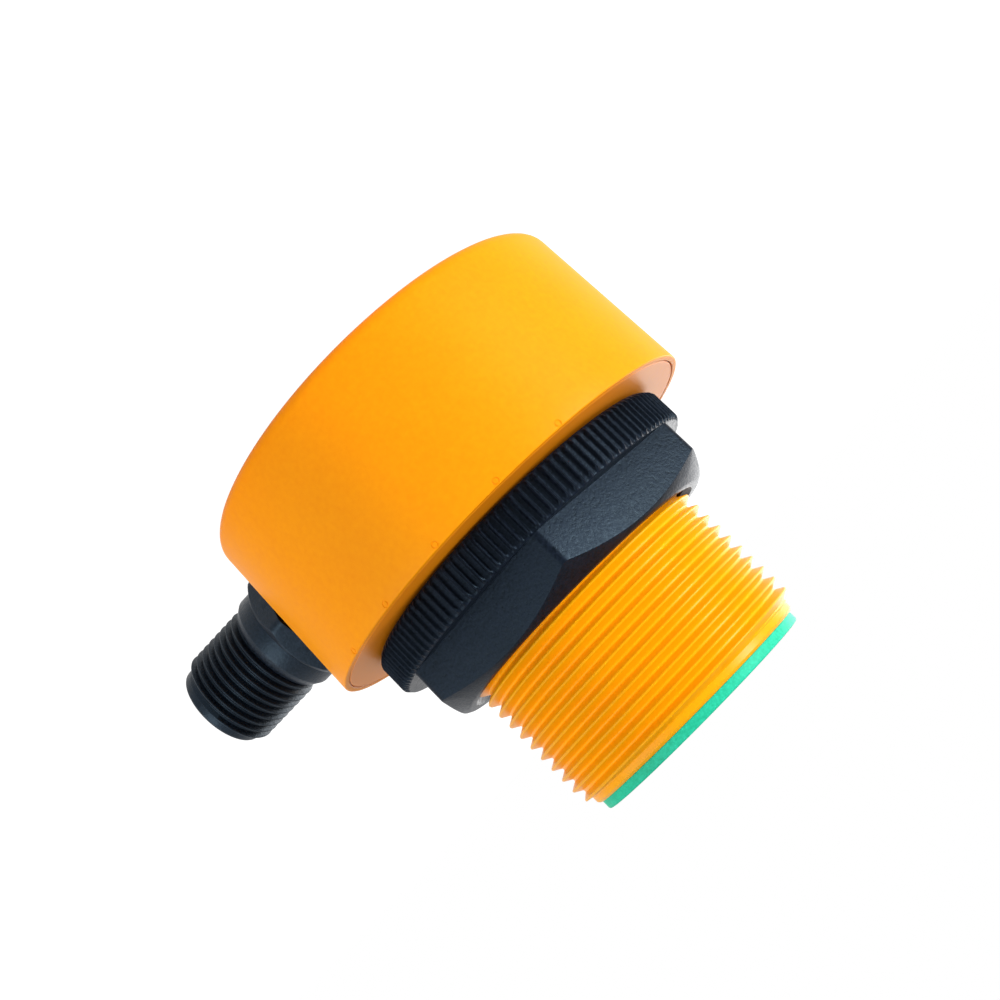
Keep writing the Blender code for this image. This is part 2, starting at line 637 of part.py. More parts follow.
def build_plug(finishes, base):
    build_plug_body(finishes["black_plastic"], base)
    section = []
    for index in range(PIN_SIDES):
        angle = math.tau * index / PIN_SIDES
        section.append((PLUG_SEAL_RADIUS + PLUG_SEAL_SECTION * math.cos(angle),
                        PLUG_SEAL_SECTION * (1.0 + math.sin(angle))))
    add_object("connector_seal", turned(section, SMALL_SIDES), finishes["black_rubber"], base)
    nut = extruded(polygon(6, PLUG_NUT_ACROSS_FLATS, PLUG_HEX_TURN), PLUG_NUT_BACK,
                   PLUG_PAD_FACE - GAP)
    nut_item = add_object("connector_nut", nut, finishes["nickel_brass"], base)
    bore = rod(PLUG_HOLE_RADIUS, -PLUG_TAIL_LENGTH - OVERCUT, PLUG_PAD_FACE + OVERCUT,
               MIDDLE_SIDES)
    combine(nut_item, add_cutter("connector_nut_bore", bore, base), "DIFFERENCE")
    build_contacts(finishes, base)


def build_plug_body(finish, base):
    # Shank with its thread, joined to the hexagon, then bored out for the carrier and the socket
    bm = bmesh.new()
    count = PLUG_THREAD_SIDES
    root = PLUG_THREAD_RADIUS - PLUG_THREAD_DEPTH
    shank_top = PLUG_HEX_LENGTH / 2.0
    lower = stack_rings(bm, ((PLUG_TAIL_RADIUS, -PLUG_TAIL_LENGTH), (PLUG_TAIL_RADIUS, shank_top),
                             (root, shank_top)), count)
    upper = stack_rings(bm, ((root, PLUG_THREAD_END),
                             (PLUG_PILOT_RADIUS, PLUG_THREAD_END + root - PLUG_PILOT_RADIUS),
                             (PLUG_PILOT_RADIUS, PLUG_END - PLUG_END_CHAMFER),
                             (PLUG_PILOT_RADIUS - PLUG_END_CHAMFER, PLUG_END)), count)
    steps = thread_steps(PLUG_THREAD_LENGTH, PLUG_THREAD_PITCH, count)
    thread_band(bm, lower[-1], upper[0], root, PLUG_THREAD_DEPTH, PLUG_THREAD_CREST_FLAT,
                PLUG_THREAD_PITCH, PLUG_THREAD_START, steps)
    bm.faces.new(lower[0][::-1])
    bm.faces.new(upper[-1])
    body = add_object("connector_body", bm, finish, base)
    hexagon = coned_hexagon(PLUG_ACROSS_FLATS, PLUG_HEX_TURN, 0.0,
                            PLUG_HEX_LENGTH - PLUG_HEX_CHAMFER, PLUG_COLLAR_RADIUS, PLUG_HEX_LENGTH)
    combine(body, add_cutter("plug_hexagon", hexagon, base), "UNION")
    collar = turned([(0.0, shank_top), (PLUG_COLLAR_RADIUS - PLUG_COLLAR_STEP, shank_top),
                     (PLUG_COLLAR_RADIUS - PLUG_COLLAR_STEP, PLUG_COLLAR_END),
                     (PLUG_CONE_TOP_RADIUS, PLUG_CONE_END), (0.0, PLUG_CONE_END)], MIDDLE_SIDES)
    combine(body, add_cutter("plug_collar", collar, base), "UNION")
    bore = turned([(0.0, -PLUG_TAIL_LENGTH - OVERCUT),
                   (PLUG_BORE_RADIUS, -PLUG_TAIL_LENGTH - OVERCUT),
                   (PLUG_BORE_RADIUS, PLUG_BORE_STEP), (PLUG_SOCKET_RADIUS, PLUG_BORE_STEP),
                   (PLUG_SOCKET_RADIUS, PLUG_END + OVERCUT), (0.0, PLUG_END + OVERCUT)],
                  MIDDLE_SIDES)
    combine(body, add_cutter("plug_bore", bore, base), "DIFFERENCE")
    groove = turned(ring_profile(PLUG_SEAL_RADIUS - PLUG_SEAL_SECTION - GAP,
                                 PLUG_SEAL_RADIUS + PLUG_SEAL_SECTION + GAP, -OVERCUT,
                                 2.0 * PLUG_SEAL_SECTION + GAP), MIDDLE_SIDES)
    combine(body, add_cutter("plug_seal_groove", groove, base), "DIFFERENCE")
    reach = PLUG_KEY_HEIGHT + (PLUG_PILOT_RADIUS - PLUG_SOCKET_RADIUS) / 2.0
    key = extruded(rectangle(reach, PLUG_KEY_WIDTH,
                             (PLUG_SOCKET_RADIUS - PLUG_KEY_HEIGHT + reach / 2.0, 0.0)),
                   CARRIER_FACE + GAP, PLUG_END - PIN_RECESS)
    combine(body, add_cutter("plug_key", key, base), "UNION")
    return body


def build_contacts(finishes, base):
    shoulder = PLUG_BORE_STEP + GAP
    low = CARRIER_SET_BACK - PLUG_TAIL_LENGTH
    disc = PLUG_SOCKET_RADIUS - GAP
    stem = PLUG_BORE_RADIUS - GAP
    profile = [(0.0, low), (stem, low), (stem, shoulder), (disc, shoulder),
               (disc, CARRIER_FACE), (0.0, CARRIER_FACE)]
    carrier = add_object("contact_carrier", turned(profile, MIDDLE_SIDES),
                         finishes["chip_black"], base)
    tail = -PLUG_TAIL_LENGTH - PIN_TAIL_LENGTH
    tip = PLUG_END - PIN_RECESS
    places = [(0.0, 0.0)]
    for index in range(4):
        angle = math.pi / 4.0 + math.pi / 2.0 * index
        places.append((PIN_CIRCLE_RADIUS * math.cos(angle), PIN_CIRCLE_RADIUS * math.sin(angle)))
    for index, (x, y) in enumerate(places):
        pin = turned([(0.0, tail), (PIN_RADIUS, tail), (PIN_RADIUS, tip - PIN_TIP),
                      (PIN_RADIUS - PIN_TIP, tip), (0.0, tip)], PIN_SIDES)
        pin_item = add_object("contact_pin_%d" % (index + 1), pin, finishes["gold_plate"], base)
        pin_item.location = (x, y, 0.0)
        hole = add_cutter("pin_hole_%d" % (index + 1),
                          rod(PIN_RADIUS + GAP, low - OVERCUT, CARRIER_FACE + OVERCUT,
                              PIN_SIDES), base)
        hole.location = (x, y, 0.0)
        combine(carrier, hole, "DIFFERENCE")


def build_boards(finishes):
    green = finishes["circuit_board"]
    disc = rod(MAIN_BOARD_RADIUS, MAIN_BOARD_HEIGHT, MAIN_BOARD_TOP, LARGE_SIDES)
    main = add_object("main_board", disc, green)
    for index, degrees in enumerate(POST_ANGLES):
        hole = add_cutter("board_hole_%d" % (index + 1),
                          rod(SCREW_RADIUS + GAP, MAIN_BOARD_HEIGHT - OVERCUT,
                              MAIN_BOARD_TOP + OVERCUT, PIN_SIDES))
        hole.location = post_place(degrees)
        combine(main, hole, "DIFFERENCE")
        add_board_screw("board_screw_%d" % (index + 1), degrees, finishes["zinc_steel"])
    driver = rod(DRIVER_BOARD_RADIUS, DRIVER_BOARD_HEIGHT, DRIVER_BOARD_TOP, LARGE_SIDES)
    add_object("driver_board", driver, green)
    header = extruded(rectangle(HEADER_LENGTH, HEADER_WIDTH, (0.0, HEADER_OFFSET)),
                      MAIN_BOARD_TOP + GAP, DRIVER_BOARD_HEIGHT - GAP)
    bmesh.ops.bevel(header, geom=[edge for edge in header.edges if is_upright(edge)],
                    offset=CHIP_DRAFT, segments=1, affect="EDGES")
    add_object("board_header", header, finishes["chip_black"])
    add_terminal_board(green)


def is_upright(edge):
    first, second = edge.verts
    return abs(first.co.z - second.co.z) > abs(first.co.x - second.co.x) + abs(
        first.co.y - second.co.y)


def add_board_screw(name, degrees, finish):
    head_low = MAIN_BOARD_TOP + GAP
    head_top = head_low + SCREW_HEAD_HEIGHT
    tip = POST_TOP - SCREW_HOLE_DEPTH + GAP
    profile = [(0.0, tip), (SCREW_RADIUS, tip), (SCREW_RADIUS, head_low),
               (SCREW_HEAD_RADIUS, head_low), (SCREW_HEAD_RADIUS, head_top),
               (SCREW_SOCKET_RADIUS, head_top),
               (SCREW_SOCKET_RADIUS, head_top - SCREW_SOCKET_DEPTH),
               (0.0, head_top - SCREW_SOCKET_DEPTH)]
    screw = add_object(name, turned(profile, SMALL_SIDES // 2), finish)
    screw.location = post_place(degrees)


def add_terminal_board(finish):
    # Small upright board that the contact pins are soldered to, hung under the main board
    back = PLUG_SEAT + GAP - PLUG_TAIL_LENGTH - PIN_TAIL_LENGTH - GAP
    middle = back - TERMINAL_BOARD_THICKNESS / 2.0
    board = extruded(rectangle(TERMINAL_BOARD_THICKNESS, TERMINAL_BOARD_WIDTH, (middle, 0.0)),
                     PLUG_HEIGHT - TERMINAL_BOARD_FOOT, MAIN_BOARD_HEIGHT - GAP)
    add_object("terminal_board", board, finish)


def build_components(finishes):
    for name, board, share, size, rows in CHIPS:
        add_chip(name, finishes["chip_black"], board, share, size, rows)
    radius = TRANSFORMER_RADIUS
    flange = TRANSFORMER_FLANGE
    low = DRIVER_BOARD_TOP + GAP
    high = TRANSFORMER_TOP
    core = turned([(0.0, low), (radius + flange, low), (radius + flange, low + flange),
                   (radius, low + flange), (radius, high - flange),
                   (radius + flange, high - flange), (radius + flange, high), (0.0, high)],
                  SMALL_SIDES)
    transformer = add_object("pulse_transformer", core, finishes["ferrite"])
    transformer.location = (0.0, TRANSFORMER_OFFSET, 0.0)
    top = MAIN_BOARD_HEIGHT - GAP
    low = top - CAPACITOR_HEIGHT
    radius = CAPACITOR_RADIUS
    neck = radius - 2.0 * CHIP_DRAFT
    can = turned([(0.0, low), (radius - CHIP_DRAFT, low), (radius, low + CHIP_DRAFT),
                  (radius, top - 8.0 * CHIP_DRAFT), (neck, top - 6.0 * CHIP_DRAFT),
                  (radius, top - 4.0 * CHIP_DRAFT), (radius, top), (0.0, top)], SMALL_SIDES)
    capacitor = add_object("filter_capacitor", can, finishes["bright_tin"])
    capacitor.location = on_board(CAPACITOR_SHARE, MAIN_BOARD_RADIUS, 0.0)
    add_crystal(finishes["bright_tin"])


def add_crystal(finish):
    # Low metal can with round ends, under the main board
    top = MAIN_BOARD_HEIGHT - GAP
    reach = (CRYSTAL_LENGTH - CRYSTAL_WIDTH) / 2.0
    outline = []
    for end in (0, 1):
        for index in range(7):
            angle = math.pi * (end + index / 6.0) - math.pi / 2.0
            offset = reach * (1.0 - 2.0 * end)
            outline.append((offset + CRYSTAL_WIDTH / 2.0 * math.cos(angle),
                            CRYSTAL_WIDTH / 2.0 * math.sin(angle)))
    can = add_object("timing_crystal", extruded(outline, top - CRYSTAL_HEIGHT, top), finish)
    can.location = on_board(CRYSTAL_SHARE, MAIN_BOARD_RADIUS, 0.0)


def on_board(share, radius, height):
    return (share[0] * radius, share[1] * radius, height)


def add_chip(name, finish, board, share, size, rows):
    # Moulded body with sloping sides, and legs that pass under it from side to side
    size_x, size_y, height = size
    bm = extruded(rectangle(size_x, size_y), 0.0, height)
    for vert in bm.verts:
        if vert.co.z > height / 2.0:
            vert.co.x -= math.copysign(CHIP_DRAFT, vert.co.x)
            vert.co.y -= math.copysign(CHIP_DRAFT, vert.co.y)
    chip = add_object(name, bm, finish)
    pitch = size_y / rows
    for index in range(rows):
        leg = extruded(rectangle(size_x + 2.0 * CHIP_LEG_LENGTH, CHIP_LEG_WIDTH,
                                 (0.0, pitch * (index - (rows - 1) / 2.0))),
                       -CHIP_LEG_THICKNESS / 2.0, CHIP_LEG_THICKNESS / 2.0)
        combine(chip, add_cutter("%s_leg_%d" % (name, index + 1), leg, chip), "UNION")
    foot = GAP + CHIP_LEG_THICKNESS / 2.0
    if board == "main":
        chip.rotation_euler = (math.pi, 0.0, 0.0)
        chip.location = on_board(share, MAIN_BOARD_RADIUS, MAIN_BOARD_HEIGHT - foot)
    else:
        chip.location = on_board(share, DRIVER_BOARD_RADIUS, DRIVER_BOARD_TOP + foot)


def main():
    clear_scene()
    finishes = {name: make_finish(name) for name in FINISHES}
    # The plug points along +X, tipped by the drum's draft; its zero is the hexagon's flat back
    plug_base = add_empty("plug_base", (PLUG_SEAT + GAP, 0.0, PLUG_HEIGHT),
                          (0.0, math.pi / 2.0 + DRUM_DRAFT, 0.0))
    build_housing_cup(finishes["orange_plastic"], plug_base)
    build_front_plate(finishes["orange_plastic"])
    build_threaded_barrel(finishes["yellow_plastic"])
    build_sensing_face(finishes["green_epoxy"])
    build_transducer(finishes)
    build_seal(finishes["black_rubber"])
    build_lock_nut(finishes["black_plastic"])
    build_plug(finishes, plug_base)
    build_boards(finishes)
    build_components(finishes)
    bpy.context.view_layer.update()


main()
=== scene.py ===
import json
import math

import bmesh
import bpy
from mathutils import Matrix, Vector


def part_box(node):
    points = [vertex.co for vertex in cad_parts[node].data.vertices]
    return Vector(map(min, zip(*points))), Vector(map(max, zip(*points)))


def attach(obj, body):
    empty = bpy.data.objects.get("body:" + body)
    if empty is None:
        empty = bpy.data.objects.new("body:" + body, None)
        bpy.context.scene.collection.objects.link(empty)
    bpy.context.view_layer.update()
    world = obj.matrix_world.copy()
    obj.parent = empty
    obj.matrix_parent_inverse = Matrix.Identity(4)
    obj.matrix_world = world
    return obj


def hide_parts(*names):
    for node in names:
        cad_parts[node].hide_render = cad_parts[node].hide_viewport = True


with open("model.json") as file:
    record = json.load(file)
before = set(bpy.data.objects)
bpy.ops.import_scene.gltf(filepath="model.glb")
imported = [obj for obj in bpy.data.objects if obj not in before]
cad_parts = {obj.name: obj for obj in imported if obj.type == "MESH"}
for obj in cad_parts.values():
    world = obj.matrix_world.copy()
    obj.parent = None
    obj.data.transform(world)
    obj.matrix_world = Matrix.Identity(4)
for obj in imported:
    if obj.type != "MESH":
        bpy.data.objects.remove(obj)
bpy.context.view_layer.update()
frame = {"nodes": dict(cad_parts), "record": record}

gap = 0.0003       # clearance between neighbours, as in the solids
hair = 0.00008     # width of a parting line, and of a barely broken edge
mergeGap = 2e-7    # points closer than this are one
print("scene: frame loaded,", len(frame["nodes"]), "solids")


# One socket of a node tree. Arithmetic on it adds Math nodes; make() adds any other node.
class Wire:
    def __init__(self, tree, socket):
        self.tree = tree
        self.socket = socket

    @staticmethod
    def make(tree, kind, settings=None, values=None, out=0):
        node = tree.nodes.new(kind)
        for name, setting in (settings or {}).items():
            if name == "stops":
                for index, (place, colour) in enumerate(setting):
                    stops = node.color_ramp.elements
                    stop = stops[index] if index < len(stops) else stops.new(place)
                    stop.position = place
                    stop.color = colour
            else:
                setattr(node, name, setting)
        for name, value in (values or {}).items():
            if isinstance(value, Wire):
                tree.links.new(value.socket, node.inputs[name])
            else:
                node.inputs[name].default_value = value
        return Wire(tree, node.outputs[out])

    def other(self, out):      # another output of the same node
        return Wire(self.tree, self.socket.node.outputs[out])

    def math(self, operation, *rest, first=None):
        terms = [first if first is not None else self, *rest]
        values = dict(enumerate(terms))
        return Wire.make(self.tree, "ShaderNodeMath", {"operation": operation}, values)

    def __add__(self, value):
        return self.math("ADD", value)

    def __radd__(self, value):
        return self.math("ADD", self, first=value)

    def __sub__(self, value):
        return self.math("SUBTRACT", value)

    def __rsub__(self, value):
        return self.math("SUBTRACT", self, first=value)

    def __mul__(self, value):
        return self.math("MULTIPLY", value)

    def __rmul__(self, value):
        return self.math("MULTIPLY", self, first=value)

    def __truediv__(self, value):
        return self.math("DIVIDE", value)

    def __gt__(self, value):
        return self.math("GREATER_THAN", value)

    def __lt__(self, value):
        return self.math("LESS_THAN", value)

    def clamped(self):
        return Wire.make(self.tree, "ShaderNodeClamp", None, {0: self})


# Geometry Nodes: a tree with named inputs, and the mesh that it makes

def startTree(name, inputs):
    tree = bpy.data.node_groups.new(name, "GeometryNodeTree")
    tree.interface.new_socket("Geometry", in_out="OUTPUT", socket_type="NodeSocketGeometry")
    for label, kind in inputs:
        tree.interface.new_socket(label, in_out="INPUT", socket_type="NodeSocket" + kind)
    source = tree.nodes.new("NodeGroupInput")
    return tree, {label: Wire(tree, source.outputs[label]) for label, kind in inputs}


def endTree(tree, geometry, material):
    real = Wire.make(tree, "GeometryNodeRealizeInstances", None, {"Geometry": geometry})
    painted = Wire.make(tree, "GeometryNodeSetMaterial", None,
                        {"Geometry": real, "Material": material})
    sink = tree.nodes.new("NodeGroupOutput")
    tree.links.new(painted.socket, sink.inputs[0])
    return tree


def grown(name, tree, values):      # the tree's result as a plain mesh
    holder = bpy.data.objects.new(name + "Holder", bpy.data.meshes.new(name + "Holder"))
    bpy.context.scene.collection.objects.link(holder)
    modifier = holder.modifiers.new("shape", "NODES")
    modifier.node_group = tree
    for item in tree.interface.items_tree:
        if item.in_out == "INPUT" and item.name in values:
            modifier[item.identifier] = values[item.name]
    bpy.context.view_layer.update()
    graph = bpy.context.evaluated_depsgraph_get()
    mesh = bpy.data.meshes.new_from_object(holder.evaluated_get(graph))
    mesh.name = name
    bpy.data.objects.remove(holder)
    return mesh


def vector(tree, *parts):
    return Wire.make(tree, "ShaderNodeCombineXYZ", None, dict(enumerate(parts)))


def aroundAxis(tree, angle, radius, height=0.0):      # the point at this angle round the axis
    return vector(tree, radius * angle.math("COSINE"), radius * angle.math("SINE"), height)


def moved(tree, geometry, place):
    return Wire.make(tree, "GeometryNodeSetPosition", None, {"Geometry": geometry, "Position": place})


def circleCurve(tree, radius, sides):
    return Wire.make(tree, "GeometryNodeCurvePrimitiveCircle", {"mode": "RADIUS"},
                     {"Resolution": sides, "Radius": radius})


def meshGrid(tree, columns, rows):      # a flat grid, with each point's two shares from 0 to 1
    grid = Wire.make(tree, "GeometryNodeMeshGrid", None, {
        "Size X": 1.0, "Size Y": 1.0, "Vertices X": columns + 1, "Vertices Y": rows + 1})
    place = Wire.make(tree, "GeometryNodeInputPosition")
    across = Wire.make(tree, "ShaderNodeSeparateXYZ", None, {0: place})
    return grid, across + 0.5, across.other(1) + 0.5


def rolled(tree, grid, angle, radius, height):      # the grid rolled up into a skin round the axis
    skin = moved(tree, grid, aroundAxis(tree, angle, radius, height))
    return Wire.make(tree, "GeometryNodeMergeByDistance", None, {"Geometry": skin, "Distance": mergeGap})


# Helical thread as the skin of a cylinder. Eight points for each pitch: the ends of the root
# flat, of the two flanks and of the crest flat, with every corner broken by a narrow facet.
# Each column starts a little higher than the one before it.
threadRows = 8      # rows of points for each turn
threadLean = math.radians(30.0)      # half of the angle between two flanks


def threadTree():
    tree, given = startTree("threadSkin", [
        ("Root Radius", "Float"), ("Depth", "Float"), ("Pitch", "Float"),
        ("Root Flat", "Float"), ("Crest Flat", "Float"), ("Soft", "Float"), ("First Row", "Float"),
        ("Low", "Float"), ("High", "Float"), ("Run In", "Float"), ("Run Out", "Float"),
        ("Mouth Radius", "Float"), ("Back Mouth", "Float"), ("Turn", "Float"), ("Turns", "Int"),
        ("Sides", "Int"), ("Material", "Material")])
    rows = given["Turns"] * threadRows
    grid, around, share = meshGrid(tree, given["Sides"], rows)
    row = (share * rows).math("ROUND")
    turn = ((row + 0.5) / threadRows).math("FLOOR")
    step = row - turn * threadRows
    soft = given["Soft"]
    flank = (given["Pitch"] - given["Root Flat"] - given["Crest Flat"]) / 2.0
    facets = (step > 1.5) + (step > 3.5) + (step > 5.5)
    phase = (soft + (step > 0.5) * (given["Root Flat"] - soft * 2.0) + facets * soft * 1.5
             + ((step > 2.5) + (step > 6.5)) * (flank - soft)
             + (step > 4.5) * (given["Crest Flat"] - soft * 2.0))
    corner = soft * math.cos(threadLean) / given["Depth"]
    ridge = (((step > 1.5) + (step > 3.5) - (step > 5.5)) * corner
             + ((step > 2.5) - (step > 6.5)) * (1.0 - corner * 2.0))
    helix = given["First Row"] + (turn + around) * given["Pitch"]
    height = (helix + phase).math("MAXIMUM", given["Low"]).math("MINIMUM", given["High"])
    centre = helix + given["Pitch"] * 0.5
    grow = ((centre - given["Low"]) / given["Run In"]).clamped()
    fade = ((given["High"] - centre) / given["Run Out"]).clamped()
    mouth = given["Mouth Radius"] - (given["High"] - height)
    backMouth = given["Back Mouth"] - (height - given["Low"])
    radius = given["Root Radius"] + given["Depth"] * ridge * grow * fade
    radius = radius.math("MAXIMUM", mouth).math("MAXIMUM", backMouth)
    skin = rolled(tree, grid, around * math.tau + given["Turn"], radius, height)
    return endTree(tree, skin, given["Material"])


# Ribbed band round a flange: narrow rounded ribs, turned down to a chamfer at both ends
def ribTree():
    tree, given = startTree("ribBand", [
        ("Count", "Int"), ("Columns", "Int"), ("Rows", "Int"), ("Core Radius", "Float"),
        ("Depth", "Float"), ("Crest Share", "Float"), ("Low", "Float"), ("High", "Float"),
        ("Low Radius", "Float"), ("High Radius", "Float"), ("Turn", "Float"),
        ("Material", "Material")])
    grid, around, share = meshGrid(tree, given["Columns"], given["Rows"])
    crowding = 0.11      # draws the rows together towards both ends, where the chamfers are
    spaced = share - (share * math.tau).math("SINE") * crowding
    height = given["Low"] + spaced * (given["High"] - given["Low"])
    phase = (around * given["Count"] + 0.5).math("FRACT") - 0.5
    crest = (0.0 - (phase / given["Crest Share"]).math("POWER", 2.0)).math("EXPONENT")
    lowCone = given["Low Radius"] + (height - given["Low"])
    highCone = given["High Radius"] + (given["High"] - height)
    radius = (given["Core Radius"] + given["Depth"] * crest).math("MINIMUM", lowCone)
    radius = radius.math("MINIMUM", highCone)
    skin = rolled(tree, grid, around * math.tau + given["Turn"], radius, height)
    return endTree(tree, skin, given["Material"])


# Small rings in a row on the drum's wall: cutters for the marks that moulding leaves
def markTree():
    tree, given = startTree("mouldMarks", [
        ("Count", "Int"), ("First Angle", "Float"), ("Step", "Float"), ("Wall Radius", "Float"),
        ("Height", "Float"), ("Ring Radius", "Float"), ("Line Radius", "Float"),
        ("Material", "Material")])
    ring = circleCurve(tree, given["Ring Radius"], 20)
    section = circleCurve(tree, given["Line Radius"], 8)
    loop = Wire.make(tree, "GeometryNodeCurveToMesh", None, {"Curve": ring, "Profile Curve": section})
    points = Wire.make(tree, "GeometryNodePoints", None, {"Count": given["Count"]})
    index = Wire.make(tree, "GeometryNodeInputIndex")
    angle = given["First Angle"] + given["Step"] * index
    placed = moved(tree, points, aroundAxis(tree, angle, given["Wall Radius"], given["Height"]))
    facing = vector(tree, 0.0, math.pi / 2.0, angle)
    copies = Wire.make(tree, "GeometryNodeInstanceOnPoints", None,
                       {"Points": placed, "Instance": loop, "Rotation": facing})
    return endTree(tree, copies, given["Material"])


# Copies of one small turned pin on a circle, and one in the middle
def pinTree():
    tree, given = startTree("pinRing", [
        ("Count", "Int"), ("Circle", "Float"), ("Pin Radius", "Float"), ("Low", "Float"),
        ("High", "Float"), ("Material", "Material")])
    noseShare = 1.0 / 30.0      # of the pin's length
    tipShare = 0.2              # of its radius
    ends = {"Start": vector(tree, 0.0, 0.0, given["Low"]), "End": vector(tree, 0.0, 0.0, given["High"])}
    line = Wire.make(tree, "GeometryNodeCurvePrimitiveLine", {"mode": "POINTS"}, ends)
    points = Wire.make(tree, "GeometryNodeResampleCurve", None, {"Curve": line, "Count": 48})
    along = Wire.make(tree, "GeometryNodeSplineParameter")
    nose = ((1.0 - along) / noseShare).clamped().math("SQRT").math("MAXIMUM", tipShare)
    sized = Wire.make(tree, "GeometryNodeSetCurveRadius", None, {"Curve": points, "Radius": nose})
    section = circleCurve(tree, given["Pin Radius"], 20)
    pin = Wire.make(tree, "GeometryNodeCurveToMesh", None,
                    {"Curve": sized, "Profile Curve": section, "Fill Caps": True})
    stands = Wire.make(tree, "GeometryNodePoints", None, {"Count": given["Count"] + 1})
    index = Wire.make(tree, "GeometryNodeInputIndex")
    angle = index / given["Count"] * math.tau + math.pi / 4.0
    reach = given["Circle"] * (index < (given["Count"] - 0.5))
    placed = moved(tree, stands, aroundAxis(tree, angle, reach))
    copies = Wire.make(tree, "GeometryNodeInstanceOnPoints", None, {"Points": placed, "Instance": pin})
    return endTree(tree, copies, given["Material"])


# Meshes from rings of points

def ringAngles(sides, turn=0.0):
    return [turn + math.tau * index / sides for index in range(sides)]


def addRing(bm, angles, radius, height):      # radius and height: numbers, or functions of the angle
    verts = []
    for angle in angles:
        reach = radius(angle) if callable(radius) else radius
        rise = height(angle) if callable(height) else height
        verts.append(bm.verts.new((reach * math.cos(angle), reach * math.sin(angle), rise)))
    return verts


def bridge(bm, first, second):
    for index in range(len(first)):
        after = (index + 1) % len(first)
        bm.faces.new((first[index], first[after], second[after], second[index]))


def fanBridge(bm, few, many):      # joins a coarse ring to a fine one that has a multiple of its points
    ratio = len(many) // len(few)
    for index in range(len(few)):
        after = (index + 1) % len(few)
        edge = [many[(index * ratio + step) % len(many)] for step in range(ratio + 1)]
        bm.faces.new([few[after], few[index], *edge])


def stack(bm, angles, levels):      # levels: (radius, height); a radius of 0 closes on one point
    rings = []
    for radius, height in levels:
        if radius == 0.0:
            ring = bm.verts.new((0.0, 0.0, height))
        else:
            ring = addRing(bm, angles, radius, height)
        last = rings[-1] if rings else None
        if isinstance(last, list) and isinstance(ring, list):
            bridge(bm, last, ring)
        elif isinstance(last, list):
            for index in range(len(last)):
                bm.faces.new((last[index], last[(index + 1) % len(last)], ring))
        elif last is not None:
            for index in range(len(ring)):
                bm.faces.new((ring[(index + 1) % len(ring)], ring[index], last))
        rings.append(ring)
    return rings


def roundedCorner(radius, height, size, start, sweep, steps=4):
    # Points of an arc about (radius, height), from the start angle in degrees
    points = []
    for index in range(steps + 1):
        angle = math.radians(start + sweep * index / steps)
        points.append((radius + size * math.cos(angle), height + size * math.sin(angle)))
    return points


def weld(bm):
    bmesh.ops.remove_doubles(bm, verts=bm.verts, dist=mergeGap)
    bmesh.ops.dissolve_degenerate(bm, dist=1e-8, edges=bm.edges)
    bmesh.ops.recalc_face_normals(bm, faces=bm.faces)


usualSharp = 32.0      # an edge that bends by more degrees than this stays sharp


def makePiece(name, bm, material, place=None, sharp=usualSharp):
    weld(bm)
    mesh = bpy.data.meshes.new(name)
    bm.to_mesh(mesh)
    bm.free()
    if place is not None:
        mesh.transform(place)
    piece = bpy.data.objects.new(name, mesh)
    bpy.context.scene.collection.objects.link(piece)
    finishMesh(piece, material, sharp)
    return piece


def turnedPiece(name, sides, levels, material, place=None):
    bm = bmesh.new()
    stack(bm, ringAngles(sides), levels)
    return makePiece(name, bm, material, place)


def finishMesh(piece, material, sharp=usualSharp):
    piece.data.materials.clear()
    piece.data.materials.append(material)
    for polygon in piece.data.polygons:
        polygon.material_index = 0
    piece.data.shade_smooth()
    piece.data.set_sharp_from_angle(angle=math.radians(sharp))


def cutWith(piece, bm, operation="DIFFERENCE"):      # applies an exact Boolean
    weld(bm)
    mesh = bpy.data.meshes.new("cutter")
    bm.to_mesh(mesh)
    bm.free()
    tool = bpy.data.objects.new("cutter", mesh)
    bpy.context.scene.collection.objects.link(tool)
    modifier = piece.modifiers.new("cut", "BOOLEAN")
    modifier.operation = operation
    modifier.solver = "EXACT"
    modifier.object = tool
    bpy.context.view_layer.update()
    graph = bpy.context.evaluated_depsgraph_get()
    result = bpy.data.meshes.new_from_object(piece.evaluated_get(graph))
    piece.modifiers.clear()
    old = piece.data
    piece.data = result
    result.name = piece.name
    bpy.data.meshes.remove(old)
    bpy.data.objects.remove(tool)


def meshOf(source):      # an editable copy of a grown mesh, which is then dropped
    bm = bmesh.new()
    bm.from_mesh(source)
    bpy.data.meshes.remove(source)
    return bm


# Materials, all on Object coordinates

def startMaterial(name, settings):
    material = bpy.data.materials.new(name)
    material.use_nodes = True
    tree = material.node_tree
    shader = tree.nodes["Principled BSDF"]
    for socket, value in settings.items():
        shader.inputs[socket].default_value = value
    coords = Wire.make(tree, "ShaderNodeTexCoord", out="Object")
    return material, tree, shader, coords


def noise(tree, coords, scale, detail=2.0, rough=0.5):
    return Wire.make(tree, "ShaderNodeTexNoise", {"noise_dimensions": "3D"}, {
        "Vector": coords, "Scale": scale, "Detail": detail, "Roughness": rough})


def blendColour(tree, factor, first, second):      # a Mix node's colours are its inputs 6 and 7
    node = tree.nodes.new("ShaderNodeMix")
    node.data_type = "RGBA"
    for socket, value in ((node.inputs[0], factor), (node.inputs[6], first), (node.inputs[7], second)):
        if isinstance(value, Wire):
            tree.links.new(value.socket, socket)
        else:
            socket.default_value = value
    return Wire(tree, node.outputs[2])


def plug(tree, wire, shader, socket):
    tree.links.new(wire.socket, shader.inputs[socket])


def twoTone(tree, factor, look):      # between the look's dark and light colours
    return blendColour(tree, factor, (*look["dark"], 1.0), (*look["light"], 1.0))


def plugRelief(tree, shader, height, strength):
    bump = Wire.make(tree, "ShaderNodeBump", None,
                     {"Strength": strength, "Distance": 1.0, "Height": height})
    plug(tree, bump, shader, "Normal")


